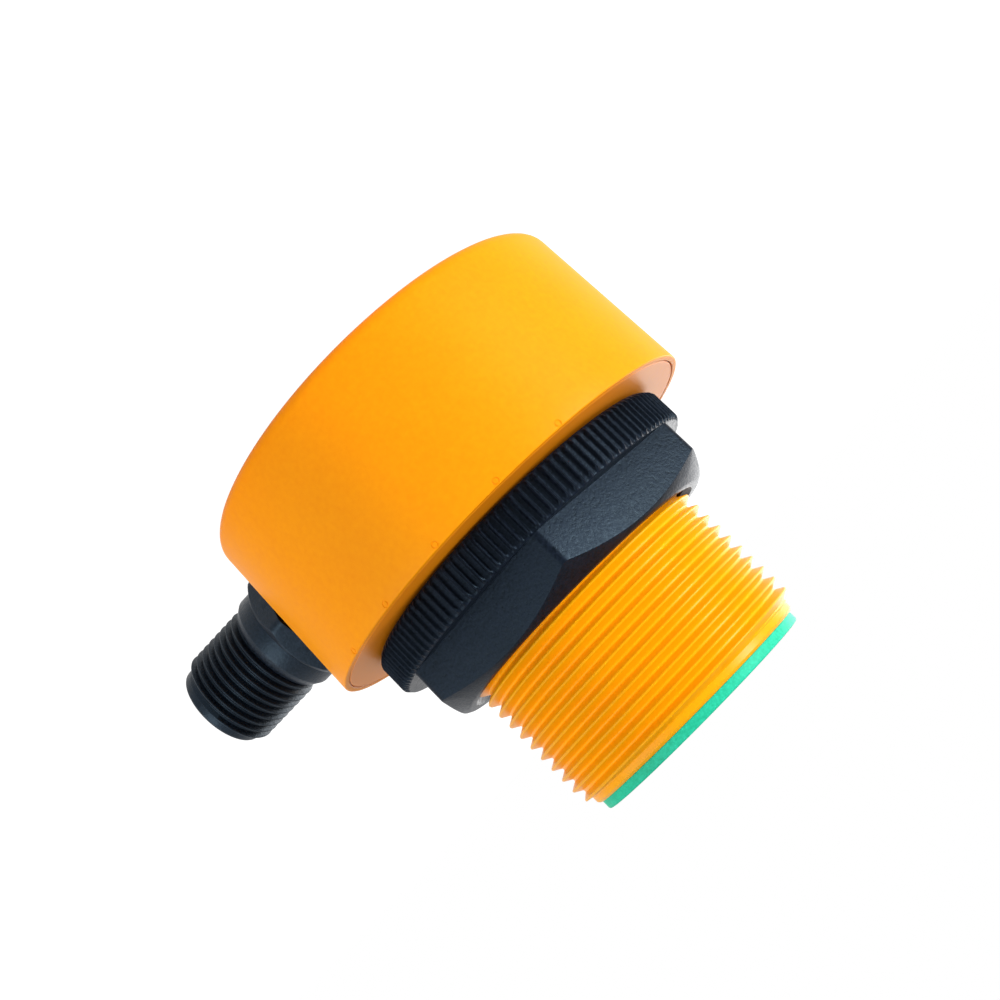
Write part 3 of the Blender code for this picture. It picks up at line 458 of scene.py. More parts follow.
def mouldedPlastic(name, look):
    # Moulded plastic: slow colour drift, fine speckle, orange-peel skin and uneven gloss
    material, tree, shader, coords = startMaterial(name, {
        "Metallic": 0.0, "IOR": 1.5, "Specular IOR Level": look["specular"],
        "Specular Tint": (*look["sheen"], 1.0)})
    drift = noise(tree, coords, look["driftScale"], 2.0)
    speckle = noise(tree, coords, look["speckleScale"], 3.0, 0.6)
    peel = noise(tree, coords, look["peelScale"], 2.0, 0.5)
    mixing = ((drift - 0.5) * look["drift"] + (speckle - 0.5) * look["speckle"] + 0.5).clamped()
    plug(tree, twoTone(tree, mixing, look), shader, "Base Color")
    gloss = ((speckle - 0.5) * look["glossSpread"] + look["roughness"]).clamped()
    plug(tree, gloss, shader, "Roughness")
    relief = peel * look["peelHeight"] + speckle * look["grainHeight"]
    plugRelief(tree, shader, relief, look["bump"])
    return material


usualLook = {"sheen": (1.0, 1.0, 1.0), "glossSpread": 0.1, "speckle": 0.8, "bump": 0.5,
             "peelHeight": 0.00002, "grainHeight": 0.00002}      # where a look says nothing else
orangeLook = {**usualLook, "dark": (0.94, 0.295, 0.001), "light": (1.0, 0.355, 0.002),
              "roughness": 0.46, "specular": 0.09, "driftScale": 90.0, "drift": 0.8,
              "speckleScale": 1800.0, "speckle": 1.3, "peelScale": 900.0, "glossSpread": 0.12,
              "grainHeight": 0.00001}
plateShadedLook = {**orangeLook, "dark": (0.92, 0.262, 0.001), "light": (0.985, 0.322, 0.002),
             "specular": 0.22}      # the drum's own orange plastic, made a little redder and darker than the drum: painted shade, as the plate lies in the nut's shade
yellowLook = {**usualLook, "dark": (0.90, 0.350, 0.001), "light": (0.98, 0.450, 0.002),
              "roughness": 0.36, "specular": 0.12, "driftScale": 120.0, "drift": 0.7,
              "speckleScale": 1800.0, "speckle": 0.4, "peelScale": 1200.0,
              "peelHeight": 0.000004, "grainHeight": 0.000002, "bump": 0.4}
greenLook = {**usualLook, "dark": (0.010, 0.44, 0.24), "light": (0.034, 0.66, 0.42),
             "roughness": 0.5, "specular": 0.1, "driftScale": 160.0, "drift": 0.9,
             "speckleScale": 2600.0, "speckle": 1.6, "peelScale": 1500.0, "peelHeight": 0.00003}
blackLook = {**usualLook, "dark": (0.0007, 0.0012, 0.0028), "light": (0.0078, 0.0118, 0.0215),
             "roughness": 0.36, "specular": 0.10, "sheen": (0.50, 0.76, 1.0), "driftScale": 150.0,
             "drift": 1.0, "speckleScale": 3400.0, "speckle": 2.4, "peelScale": 1000.0,
             "glossSpread": 0.40, "grainHeight": 0.00003, "bump": 1.0}
plugLook = {**blackLook, "roughness": 0.40, "specular": 0.28}      # the plug's shinier plastic
rubberLook = {**usualLook, "dark": (0.008, 0.008, 0.009), "light": (0.016, 0.016, 0.017),
              "roughness": 0.75, "specular": 0.3, "driftScale": 200.0, "drift": 1.0,
              "speckleScale": 3000.0, "peelScale": 1500.0, "peelHeight": 0.00003,
              "grainHeight": 0.00003, "bump": 0.6}
insertLook = {**usualLook, "dark": (0.012, 0.012, 0.013), "light": (0.022, 0.022, 0.024),
              "roughness": 0.5, "specular": 0.4, "driftScale": 300.0, "drift": 0.8,
              "speckleScale": 3000.0, "peelScale": 2000.0}
orangePlastic = mouldedPlastic("orangePlastic", orangeLook)
plateShadedPlastic = mouldedPlastic("plateShadedPlastic", plateShadedLook)
yellowPlastic = mouldedPlastic("yellowPlastic", yellowLook)
greenEpoxy = mouldedPlastic("greenEpoxy", greenLook)
blackPlastic = mouldedPlastic("blackPlastic", blackLook)
plugBlack = mouldedPlastic("plugBlack", plugLook)
blackRubber = mouldedPlastic("blackRubber", rubberLook)
insertBlack = mouldedPlastic("insertBlack", insertLook)


def platedMetal(name, look):
    # Plated metal: fine drawing marks in the gloss, slow drift in the colour
    material, tree, shader, coords = startMaterial(name, {"Metallic": 1.0})
    drift = noise(tree, coords, look["driftScale"], 2.0)
    stretched = Wire.make(tree, "ShaderNodeMapping", None, {"Vector": coords, "Scale": look["grain"]})
    marks = noise(tree, stretched, look["markScale"], 3.0, 0.6)
    plug(tree, twoTone(tree, drift, look), shader, "Base Color")
    plug(tree, ((marks - 0.5) * look["spread"] + look["roughness"]).clamped(), shader, "Roughness")
    plugRelief(tree, shader, marks * metalMarks["height"], metalMarks["bump"])
    return material


metalMarks = {"height": 0.000006, "bump": 0.4}
goldLook = {"dark": (0.80, 0.52, 0.16), "light": (0.93, 0.68, 0.28), "roughness": 0.28,
            "spread": 0.2, "driftScale": 500.0, "markScale": 3000.0, "grain": (0.1, 1.0, 1.0)}
tinLook = {"dark": (0.66, 0.67, 0.69), "light": (0.84, 0.84, 0.86), "roughness": 0.30,
           "spread": 0.25, "driftScale": 300.0, "markScale": 2500.0, "grain": (1.0, 1.0, 0.15)}
steelLook = {"dark": (0.50, 0.52, 0.55), "light": (0.66, 0.68, 0.71), "roughness": 0.36,
             "spread": 0.3, "driftScale": 400.0, "markScale": 2500.0, "grain": (1.0, 1.0, 0.3)}
nickelLook = {"dark": (0.56, 0.52, 0.43), "light": (0.72, 0.68, 0.58), "roughness": 0.30,
              "spread": 0.25, "driftScale": 400.0, "markScale": 2500.0, "grain": (0.2, 1.0, 1.0)}
goldPlate = platedMetal("goldPlate", goldLook)
brightTin = platedMetal("brightTin", tinLook)
zincSteel = platedMetal("zincSteel", steelLook)
nickelBrass = platedMetal("nickelBrass", nickelLook)


def plainSolid(name, look):
    # Inner parts: two tones mixed by a grain, with a matching relief
    material, tree, shader, coords = startMaterial(name, {"Metallic": 0.0})
    grain = noise(tree, coords, look["grainScale"], 4.0, 0.6)
    tone = Wire.make(tree, "ShaderNodeValToRGB", {"stops": [
        (look["from"], (*look["dark"], 1.0)), (look["to"], (*look["light"], 1.0))]}, {0: grain})
    plug(tree, tone, shader, "Base Color")
    plug(tree, (grain * look["spread"] + look["roughness"]).clamped(), shader, "Roughness")
    plugRelief(tree, shader, grain * look["relief"], solidBump)
    return material


solidBump = 0.6
ceramicLook = {"dark": (0.55, 0.50, 0.40), "light": (0.68, 0.64, 0.55), "from": 0.35, "to": 0.7,
               "grainScale": 1500.0, "roughness": 0.4, "spread": 0.2, "relief": 0.00002}
resinLook = {"dark": (0.12, 0.13, 0.14), "light": (0.20, 0.21, 0.22), "from": 0.3, "to": 0.7,
             "grainScale": 900.0, "roughness": 0.5, "spread": 0.2, "relief": 0.00004}
corkLook = {"dark": (0.18, 0.10, 0.05), "light": (0.42, 0.28, 0.16), "from": 0.4, "to": 0.6,
            "grainScale": 1200.0, "roughness": 0.8, "spread": 0.15, "relief": 0.00012}
chipLook = {"dark": (0.012, 0.012, 0.012), "light": (0.030, 0.030, 0.031), "from": 0.3, "to": 0.7,
            "grainScale": 4000.0, "roughness": 0.45, "spread": 0.2, "relief": 0.00001}
ferriteLook = {"dark": (0.04, 0.04, 0.043), "light": (0.085, 0.085, 0.09), "from": 0.3, "to": 0.7,
               "grainScale": 3000.0, "roughness": 0.6, "spread": 0.2, "relief": 0.00002}
redLook = {"dark": (0.46, 0.015, 0.015), "light": (0.60, 0.03, 0.03), "from": 0.3, "to": 0.7,
           "grainScale": 1500.0, "roughness": 0.38, "spread": 0.1, "relief": 0.00001}
whiteLook = {"dark": (0.66, 0.66, 0.62), "light": (0.80, 0.80, 0.77), "from": 0.3, "to": 0.7,
             "grainScale": 1500.0, "roughness": 0.38, "spread": 0.1, "relief": 0.00001}
ceramic = plainSolid("firedCeramic", ceramicLook)
greyResin = plainSolid("greyResin", resinLook)
corkFoam = plainSolid("corkFoam", corkLook)
chipBlack = plainSolid("chipBlack", chipLook)
ferrite = plainSolid("ferrite", ferriteLook)
redInsulation = plainSolid("redInsulation", redLook)
whiteInsulation = plainSolid("whiteInsulation", whiteLook)


def circuitBoard(name, look):
    # Solder mask over raised copper tracks
    material, tree, shader, coords = startMaterial(name, {"Metallic": 0.0})
    cells = Wire.make(tree, "ShaderNodeTexVoronoi", {"feature": "DISTANCE_TO_EDGE"},
                      {"Vector": coords, "Scale": look["trackScale"]})
    track = cells < look["trackWidth"]
    weave = noise(tree, coords, look["weaveScale"], 2.0)
    share = track * look["copperShare"]
    colour = blendColour(tree, share, twoTone(tree, weave, look), (*look["copper"], 1.0))
    plug(tree, colour, shader, "Base Color")
    plug(tree, (weave * look["spread"] + look["roughness"]).clamped(), shader, "Roughness")
    plugRelief(tree, shader, track * look["trackHeight"], look["bump"])
    return material


boardLook = {"dark": (0.006, 0.10, 0.04), "light": (0.012, 0.17, 0.07), "copper": (0.04, 0.30, 0.12),
             "copperShare": 0.6, "trackScale": 450.0, "trackWidth": 0.06, "trackHeight": 0.00003,
             "weaveScale": 2500.0, "roughness": 0.3, "spread": 0.15, "bump": 0.5}
boardGreen = circuitBoard("boardGreen", boardLook)

# Finishes of the solids that stay: everything that is closed in
keptNodes = {
    "circuit_board": boardGreen, "chip_black": chipBlack, "ferrite": ferrite, "ceramic": ceramic,
    "grey_resin": greyResin, "cork_foam": corkFoam, "bright_tin": brightTin, "gold_plate": goldPlate,
    "zinc_steel": zincSteel, "nickel_brass": nickelBrass, "red_insulation": redInsulation,
    "white_insulation": whiteInsulation, "black_rubber": blackRubber, "black_plastic": blackPlastic,
    "orange_plastic": orangePlastic, "yellow_plastic": yellowPlastic, "green_epoxy": greenEpoxy}
for part in frame["record"]["subparts"]:
    node = frame["nodes"][part["node"]]
    node.data.materials.clear()
    node.data.materials.append(keptNodes[part["material_slot"]])
print("scene: materials ready")


def settle(piece, body, slot, *nodes):      # hands a finished piece to its body
    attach(piece, body)
    if nodes:
        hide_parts(*nodes)


# Drum-shaped rear housing
drum = {"height": 0.0200, "frontRadius": 0.0242, "draft": math.radians(1.5), "backRound": 0.0015,
        "wall": 0.0022, "backWall": 0.0020, "lip": 0.0007, "edge": 0.00018, "plate": 0.0022,
        "backRing": 0.0008, "innerShare": 0.5, "sides": 240, "rows": 10}
plugSeat = {"height": 0.0095, "depth": 0.0010, "spotRadius": 0.0079, "padRadius": 0.0072,
            "padThickness": 0.0025, "holeRadius": 0.0050, "spotReach": 0.0023, "overcut": 0.001}
posts = {"radius": 0.0021, "screwHole": 0.0011, "holeDepth": 0.0060, "count": 3}
marks = {"count": 5, "firstAngle": math.radians(-125.4), "step": math.radians(18.4),
         "below": 0.00042, "ringRadius": 0.00030, "lineRadius": 0.00007}


def drumRadius(height):
    return drum["frontRadius"] - math.tan(drum["draft"]) * (drum["height"] - height)


seatX = drumRadius(plugSeat["height"]) - plugSeat["depth"] + gap      # back of the plug's hexagon
plugFrame = (Matrix.Translation((seatX, 0.0, plugSeat["height"]))
             @ Matrix.Rotation(math.pi / 2.0 + drum["draft"], 4, "Y"))


def addRod(bm, radius, low, high, place, sides=64):
    rod = bmesh.new()
    stack(rod, ringAngles(sides), [(0.0, low), (radius, low), (radius, high), (0.0, high)])
    bmesh.ops.transform(rod, matrix=place, verts=rod.verts)
    mesh = bpy.data.meshes.new("rod")
    rod.to_mesh(mesh)
    rod.free()
    bm.from_mesh(mesh)
    bpy.data.meshes.remove(mesh)
    return bm


def addBoardPosts(piece):      # posts under the main board, where its screws are
    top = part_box("main_board")[0][2] - gap
    rods = bmesh.new()
    holes = bmesh.new()
    for index in range(posts["count"]):
        low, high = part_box("board_screw_%d" % (index + 1))
        place = Matrix.Translation(((low[0] + high[0]) / 2.0, (low[1] + high[1]) / 2.0, 0.0))
        addRod(rods, posts["radius"], drum["backWall"] / 2.0, top, place, 48)
        addRod(holes, posts["screwHole"], top - posts["holeDepth"], top + gap, place, 32)
    cutWith(piece, rods, "UNION")
    cutWith(piece, holes)


def addMouldMarks(piece):      # faint rings just behind the drum's front edge
    height = drum["height"] - marks["below"]
    cutWith(piece, meshOf(grown("ringCutters", markTree(), {
        "Count": marks["count"], "First Angle": marks["firstAngle"], "Step": marks["step"],
        "Wall Radius": drumRadius(height), "Height": height, "Ring Radius": marks["ringRadius"],
        "Line Radius": marks["lineRadius"], "Material": orangePlastic})))


def buildDrum():
    corner = drumRadius(drum["backRound"]) - drum["backRound"]
    top = drum["height"]
    edge = drum["edge"]
    lipInner = drum["frontRadius"] - drum["lip"]
    rabbet = top - drum["plate"] - gap
    levels = [(0.0, 0.0), (corner * drum["innerShare"], 0.0), (corner - drum["backRing"], 0.0)]
    levels += roundedCorner(corner, drum["backRound"], drum["backRound"], -90.0, 90.0, 8)
    for row in range(1, drum["rows"] + 1):
        height = drum["backRound"] + (top - edge - drum["backRound"]) * row / drum["rows"]
        levels.append((drumRadius(height), height))
    levels += roundedCorner(drum["frontRadius"] - edge, top - edge, edge, 0.0, 90.0)[1:]
    levels += [(lipInner + hair, top), (lipInner, top - hair), (lipInner, rabbet),
               (drumRadius(rabbet) - drum["wall"], rabbet),
               (drumRadius(drum["backWall"]) - drum["wall"], drum["backWall"]),
               (0.0, drum["backWall"])]
    piece = turnedPiece("housingDrum", drum["sides"], levels, orangePlastic)
    pad = -gap - plugSeat["padThickness"]
    cutWith(piece, addRod(bmesh.new(), plugSeat["padRadius"], pad, pad / 4.0, plugFrame), "UNION")
    reach = plugSeat["spotReach"]
    cutWith(piece, addRod(bmesh.new(), plugSeat["spotRadius"], -gap, reach, plugFrame, 96))
    over = plugSeat["overcut"]
    cutWith(piece, addRod(bmesh.new(), plugSeat["holeRadius"], pad - over, over, plugFrame))
    addBoardPosts(piece)
    addMouldMarks(piece)
    finishMesh(piece, orangePlastic)
    settle(piece, "housing", "orange_plastic", "housing_cup")


buildDrum()
print("scene: drum ready")

# Barrel with its M30 x 1.5 thread, and the plate that closes the drum round it
barrel = {"length": 0.0260, "bore": 0.0120, "neck": 0.0105, "ledge": 0.0037, "pilotRadius": 0.0139,
          "pilotLength": 0.0010, "chamfer": 0.00025, "majorRadius": 0.01495, "pitch": 0.0015,
          "depth": 0.00092, "crestFlat": 0.00019, "soft": 0.00006, "firstCrest": 0.0009, "runIn": 0.0004,
          "runOut": 0.00045, "turns": 21, "clearance": 0.0003, "flangeRadius": 0.0158,
          "flangeThickness": 0.0010, "sides": 240, "sharp": 24.0}
barrelEnd = drum["height"] + barrel["length"]
threadRoot = barrel["majorRadius"] - barrel["depth"]
threads = threadTree()


def rootFlatOf(size):
    return size["pitch"] - size["crestFlat"] - 2.0 * size["depth"] * math.tan(threadLean)


def crestFoot(size):      # from the middle of a crest down to the start of the root flat before it
    return size["crestFlat"] / 2.0 + size["depth"] * math.tan(threadLean) + rootFlatOf(size)


def threadSizes(size, run):      # the thread's form, and how it begins, ends and runs on its piece
    return {"Depth": size["depth"], "Pitch": size["pitch"], "Root Flat": rootFlatOf(size),
            "Crest Flat": size["crestFlat"], "Run In": run["runIn"], "Run Out": run["runOut"],
            "Turns": run["turns"]}


def buildBarrel():
    top = barrelEnd - barrel["pilotLength"]
    base = drum["height"]
    back = base - drum["plate"]
    # The first row lies two whole turns below the first crest, under the thread's foot
    first = base + barrel["firstCrest"] - crestFoot(barrel) - 2.0 * barrel["pitch"]
    bm = meshOf(grown("barrelThread", threads, {
        **threadSizes(barrel, barrel), "Root Radius": threadRoot, "Soft": barrel["soft"],
        "First Row": first, "Low": base, "High": top, "Turn": 0.0, "Sides": barrel["sides"],
        "Material": yellowPlastic}))
    chamfer = barrel["chamfer"]
    pilot = barrel["pilotRadius"]
    flangeTop = back + barrel["flangeThickness"]
    levels = [(threadRoot, top), (pilot, top + threadRoot - pilot), (pilot, barrelEnd - chamfer),
              (pilot - chamfer, barrelEnd), (barrel["bore"], barrelEnd),
              (barrel["bore"], base + barrel["ledge"]), (barrel["neck"], base + barrel["ledge"]),
              (barrel["neck"], back), (barrel["flangeRadius"], back),
              (barrel["flangeRadius"], flangeTop), (threadRoot, flangeTop), (threadRoot, base)]
    stack(bm, ringAngles(barrel["sides"]), levels)
    piece = makePiece("threadedBarrel", bm, yellowPlastic, sharp=barrel["sharp"])
    settle(piece, "housing", "yellow_plastic", "threaded_barrel")


def buildFrontPlate():
    base = drum["height"]
    back = base - drum["plate"]
    rim = drum["frontRadius"] - drum["lip"] - hair
    hole = threadRoot + hair
    pocket = barrel["flangeRadius"] + hair
    step = back + barrel["flangeThickness"] + hair
    levels = [(pocket, back), (rim, back), (rim, base - hair), (rim - hair, base), (hole, base),
              (hole, step), (pocket, step), (pocket, back)]
    # the plate's material is the drum's orange darkened and reddened, which is painted shade
    piece = turnedPiece("frontPlate", drum["sides"], levels, plateShadedPlastic)
    settle(piece, "housing", "orange_plastic", "front_plate")


buildBarrel()
buildFrontPlate()

# Sensing face: cast disc with a soft edge and a plug in the bore's mouth
face = {"radius": 0.01345, "thickness": 0.0008, "edge": 0.0002, "plugDepth": 0.0030,
        "innerShare": 0.7, "sides": 180}


def buildFace():
    low = barrelEnd + hair / 2.0
    top = barrelEnd + gap + face["thickness"]
    plugRadius = barrel["bore"] - hair / 2.0
    edge = face["edge"]
    levels = [(0.0, barrelEnd - face["plugDepth"]), (plugRadius, barrelEnd - face["plugDepth"]),
              (plugRadius, low), (face["radius"], low)]
    levels += roundedCorner(face["radius"] - edge, top - edge, edge, 0.0, 90.0)
    levels += [(face["radius"] * face["innerShare"], top), (0.0, top)]
    piece = turnedPiece("sensingFace", face["sides"], levels, greenEpoxy)
    settle(piece, "housing", "green_epoxy", "sensing_face")


buildFace()
print("scene: barrel, plate and face ready")

# Lock nut: ribbed flange, coned hexagon, tapped bore and the recess for its seal
nut = {"back": 0.0203, "flangeRadius": 0.0201, "flangeHeight": 0.0043, "ribs": 124,
       "ribDepth": 0.00045, "crestShare": 0.14, "backChamfer": 0.0006, "frontChamfer": 0.0005,
       "acrossFlats": 0.0346, "hexHeight": 0.0057, "turn": math.radians(14.5), "cone": 0.0020,
       "frontRadius": 0.0168, "boreChamfer": 0.0005, "backBore": 0.0001, "cornerRound": 0.0009,
       "coneEdge": 0.00014, "runIn": 0.0002, "runOut": 0.00001, "turns": 11, "threadSides": 372,
       "columnsPerRib": 12, "ribRows": 14, "sharp": 30.0}
seal = {"inner": 0.0164, "outer": 0.0183, "thickness": 0.0012, "edge": 0.00015, "sides": 180}


def hexReach(across, turn, cornerRound):
    # Distance from the axis to a hexagon's side, with its corners rounded off
    lean = math.pi / 6.0
    flat = across / 2.0
    centre = (flat - cornerRound) / math.cos(lean)
    tangent = math.atan2(cornerRound * math.sin(lean), centre + cornerRound * math.cos(lean))

    def reach(angle):
        within = abs((angle - turn + lean) % (2.0 * lean) - lean)
        if within > tangent:
            return flat / math.cos(lean - within)
        side = centre * math.sin(within)
        return centre * math.cos(within) + math.sqrt(cornerRound ** 2 - side ** 2)
    return reach


def conedHexagon(reach, coneLow, topRadius, top, corner, soften):
    # Levels of a hexagon whose corners are turned to a cone, with the arcs softened
    slope = (top - coneLow) / (corner - topRadius)

    def arc(angle):
        return coneLow + slope * (corner - reach(angle))

    lean = math.hypot(1.0, slope)
    inward = soften * 0.15      # from the sharp edge to the middle of the softened one
    down = soften * 0.1
    return [(reach, lambda angle: arc(angle) - soften),
            (lambda angle: reach(angle) - inward, lambda angle: arc(angle) - down),
            (lambda angle: reach(angle) - soften / lean,
             lambda angle: arc(angle) + soften * slope / lean)]


def softenRibs(mesh):      # ribs stay smooth, however steep their sides are
    core = nut["flangeRadius"] - nut["ribDepth"] - hair
    low = nut["back"] + hair
    high = nut["back"] + nut["flangeHeight"] - hair
    for edge in mesh.edges:
        first, second = (mesh.vertices[index].co for index in edge.vertices)
        if min(first.xy.length, second.xy.length) > core and low < first.z < high:
            edge.use_edge_sharp = False


def buildNut():
    back = nut["back"]
    front = back + nut["flangeHeight"]
    top = front + nut["hexHeight"]
    rim = nut["flangeRadius"]
    foot = threadRoot + barrel["clearance"]
    wide = barrel["majorRadius"] + barrel["clearance"] + nut["boreChamfer"]
    wideBack = barrel["majorRadius"] + barrel["clearance"] + nut["backBore"]
    first = (drum["height"] + barrel["firstCrest"] - crestFoot(barrel) - 3.0 * barrel["pitch"]
             + barrel["pitch"] * nut["turn"] / math.tau)
    bm = meshOf(grown("nutThread", threads, {
        **threadSizes(barrel, nut), "Root Radius": foot, "Soft": barrel["soft"] / 2.0,
        "First Row": first, "Low": back, "High": top, "Mouth Radius": wide, "Back Mouth": wideBack,
        "Turn": nut["turn"], "Sides": nut["threadSides"], "Material": blackPlastic}))
    columns = nut["ribs"] * nut["columnsPerRib"]
    band = grown("nutRibs", ribTree(), {
        "Count": nut["ribs"], "Columns": columns, "Rows": nut["ribRows"],
        "Core Radius": rim - nut["ribDepth"], "Depth": nut["ribDepth"],
        "Crest Share": nut["crestShare"], "Low": back, "High": front,
        "Low Radius": rim - nut["backChamfer"], "High Radius": rim - nut["frontChamfer"],
        "Turn": nut["turn"], "Material": blackPlastic})
    bm.from_mesh(band)
    bpy.data.meshes.remove(band)
    recess = back + seal["thickness"] + gap
    coarse = ringAngles(nut["threadSides"], nut["turn"])
    fine = ringAngles(columns, nut["turn"])
    recessIn = seal["inner"] - gap
    recessOut = seal["outer"] + gap
    inner = stack(bm, coarse, [(wideBack, back), (recessIn, back), (recessIn, recess),
                               (recessOut, recess), (recessOut, back)])
    fanBridge(bm, inner[-1], addRing(bm, fine, rim - nut["backChamfer"], back))
    reach = hexReach(nut["acrossFlats"], nut["turn"], nut["cornerRound"])
    corner = nut["acrossFlats"] / 2.0 / math.cos(math.pi / 6.0)
    levels = [(rim - nut["frontChamfer"], front), (reach, front)]
    levels += conedHexagon(reach, top - nut["cone"], nut["frontRadius"], top, corner, nut["coneEdge"])
    levels += [(nut["frontRadius"] + hair, top - hair), (nut["frontRadius"] - hair, top)]
    outer = stack(bm, fine, levels)
    fanBridge(bm, addRing(bm, coarse, wide, top), outer[-1])
    piece = makePiece("lockNut", bm, blackPlastic, sharp=nut["sharp"])
    softenRibs(piece.data)
    settle(piece, "nut", "black_plastic", "lock_nut")


def buildSeal():
    low = nut["back"]
    high = low + seal["thickness"]
    edge = seal["edge"]
    levels = roundedCorner(seal["outer"] - edge, low + edge, edge, -90.0, 90.0)
    levels += roundedCorner(seal["outer"] - edge, high - edge, edge, 0.0, 90.0)
    levels += roundedCorner(seal["inner"] + edge, high - edge, edge, 90.0, 90.0)
    levels += roundedCorner(seal["inner"] + edge, low + edge, edge, 180.0, 90.0)
    piece = turnedPiece("sealingRing", seal["sides"], levels + levels[:1], blackRubber)
    settle(piece, "seal", "black_rubber", "sealing_ring")


buildNut()
buildSeal()
print("scene: nut and seal ready")

# M12 plug on the drum's side, built along Z from the flat back of its hexagon
m12 = {"acrossFlats": 0.0131, "hexTurn": math.radians(30.0), "hexLength": 0.0024,
       "hexChamfer": 0.0010, "cornerRound": 0.0009, "collarRadius": 0.0065, "collarStep": 0.0001,
       "collarLength": 0.0019, "coneLength": 0.0011, "coneTop": 0.0057, "neck": 0.0004,
       "threadRadius": 0.00597, "pitch": 0.0010, "depth": 0.00058, "crestFlat": 0.00013, "soft": 0.00005,
       "threadLength": 0.0082, "pilotRadius": 0.0053, "pilotLength": 0.0012, "endRound": 0.0004,
       "socket": 0.0043, "bore": 0.0040, "boreStep": 0.0010, "tail": 0.0067, "keyWidth": 0.0009,
       "keyHeight": 0.0005, "sealRadius": 0.0059, "sealSection": 0.0004, "coneEdge": 0.0002,
       "runIn": 0.0003, "runOut": 0.0003, "turns": 11, "sides": 192, "sharp": 28.0}
contacts = {"carrierFace": 0.0080, "setBack": 0.0005, "pinRadius": 0.0005, "circle": 0.0025,
            "onCircle": 4, "recess": 0.0010, "tail": 0.0013, "edge": 0.0002, "sides": 96}
collarEnd = m12["hexLength"] + m12["collarLength"]
coneEnd = collarEnd + m12["coneLength"]
m12Start = coneEnd + m12["neck"]
m12End = m12Start + m12["threadLength"]
plugTip = m12End + m12["pilotLength"]


def plugInside():      # levels from the tip down the socket, and round the tail to the hexagon's back
    endRound = m12["endRound"]
    pilot = m12["pilotRadius"]
    tailRadius = plugSeat["holeRadius"] - gap
    groove = 2.0 * m12["sealSection"] + gap
    grooveIn = m12["sealRadius"] - m12["sealSection"] - gap
    grooveOut = m12["sealRadius"] + m12["sealSection"] + gap
    levels = roundedCorner(pilot - endRound, plugTip - endRound, endRound, 0.0, 90.0)
    levels += [(m12["socket"] + hair, plugTip), (m12["socket"], plugTip - hair),
               (m12["socket"], m12["boreStep"]), (m12["bore"], m12["boreStep"]),
               (m12["bore"], -m12["tail"]), (tailRadius, -m12["tail"]), (tailRadius, 0.0),
               (grooveIn, 0.0), (grooveIn, groove), (grooveOut, groove), (grooveOut, 0.0)]
    return levels


def buildPlug():
    root = m12["threadRadius"] - m12["depth"]
    bm = meshOf(grown("plugThread", threads, {
        **threadSizes(m12, m12), "Root Radius": root, "Soft": m12["soft"],
        "First Row": m12Start - rootFlatOf(m12) - m12["pitch"], "Low": coneEnd, "High": m12End,
        "Turn": 0.0, "Sides": m12["sides"], "Material": plugBlack}))
    reach = hexReach(m12["acrossFlats"], m12["hexTurn"], m12["cornerRound"])
    corner = m12["acrossFlats"] / 2.0 / math.cos(math.pi / 6.0)
    collar = m12["collarRadius"] - m12["collarStep"]
    pilot = m12["pilotRadius"]
    levels = [(root, m12End), (pilot, m12End + root - pilot)] + plugInside() + [(reach, 0.0)]
    levels += conedHexagon(reach, m12["hexLength"] - m12["hexChamfer"], m12["collarRadius"],
                           m12["hexLength"], corner, m12["coneEdge"])
    levels += [(m12["collarRadius"], m12["hexLength"]), (collar, m12["hexLength"]),
               (collar, collarEnd - hair), (collar - hair / 2.0, collarEnd + hair / 2.0),
               (m12["coneTop"] + hair, coneEnd - hair), (m12["coneTop"] - hair / 2.0, coneEnd),
               (root, coneEnd)]
    stack(bm, ringAngles(m12["sides"]), levels)
    piece = makePiece("plugBody", bm, plugBlack, place=plugFrame)
    addKey(piece)
    finishMesh(piece, plugBlack, m12["sharp"])
    settle(piece, "housing", "black_plastic", "connector_body")


def addKey(piece):      # rib in the socket that lets the cable's plug in only one way round
    reach = m12["keyHeight"] + (m12["pilotRadius"] - m12["socket"]) / 2.0
    low = contacts["carrierFace"] + gap
    length = plugTip - contacts["recess"] - low
    middle = (m12["socket"] - m12["keyHeight"] + reach / 2.0, 0.0, low + length / 2.0)
    box = Matrix.Translation(middle) @ Matrix.Diagonal((reach, m12["keyWidth"], length, 1.0))
    key = bmesh.new()
    bmesh.ops.create_cube(key, size=1.0, matrix=plugFrame @ box)
    cutWith(piece, key, "UNION")


def buildContacts():
    low = contacts["setBack"] - m12["tail"]
    shoulder = m12["boreStep"] + gap
    disc = m12["socket"] - hair
    edge = contacts["edge"]
    levels = [(0.0, low), (m12["bore"] - gap, low), (m12["bore"] - gap, shoulder), (disc, shoulder)]
    levels += roundedCorner(disc - edge, contacts["carrierFace"] - edge, edge, 0.0, 90.0)
    levels += [(0.0, contacts["carrierFace"])]
    carrier = turnedPiece("contactCarrier", contacts["sides"], levels, insertBlack, plugFrame)
    settle(carrier, "housing", "chip_black", "contact_carrier")
    pins = meshOf(grown("contactPins", pinTree(), {
        "Count": contacts["onCircle"], "Circle": contacts["circle"],
        "Pin Radius": contacts["pinRadius"], "Low": -m12["tail"] - contacts["tail"],
        "High": plugTip - contacts["recess"], "Material": goldPlate}))
    piece = makePiece("contactPins", pins, goldPlate, place=plugFrame)
    nodes = ["contact_pin_%d" % (index + 1) for index in range(contacts["onCircle"] + 1)]
    settle(piece, "housing", "gold_plate", *nodes)


buildPlug()
buildContacts()
print("scene: plug ready")

# Floor, camera and light
stage = {"floorSize": 3.0, "floorHeight": -0.00005, "floorWhite": 0.70, "shadowShare": 0.30,
         "glow": 1.42}


def whiteForCamera(tree):
    # 1 for rays that see the background: camera, glossy and transmission rays
    path = Wire.make(tree, "ShaderNodeLightPath")
    seen = path.math("MAXIMUM", path.other("Is Glossy Ray"))
    return seen.math("MAXIMUM", path.other("Is Transmission Ray"))


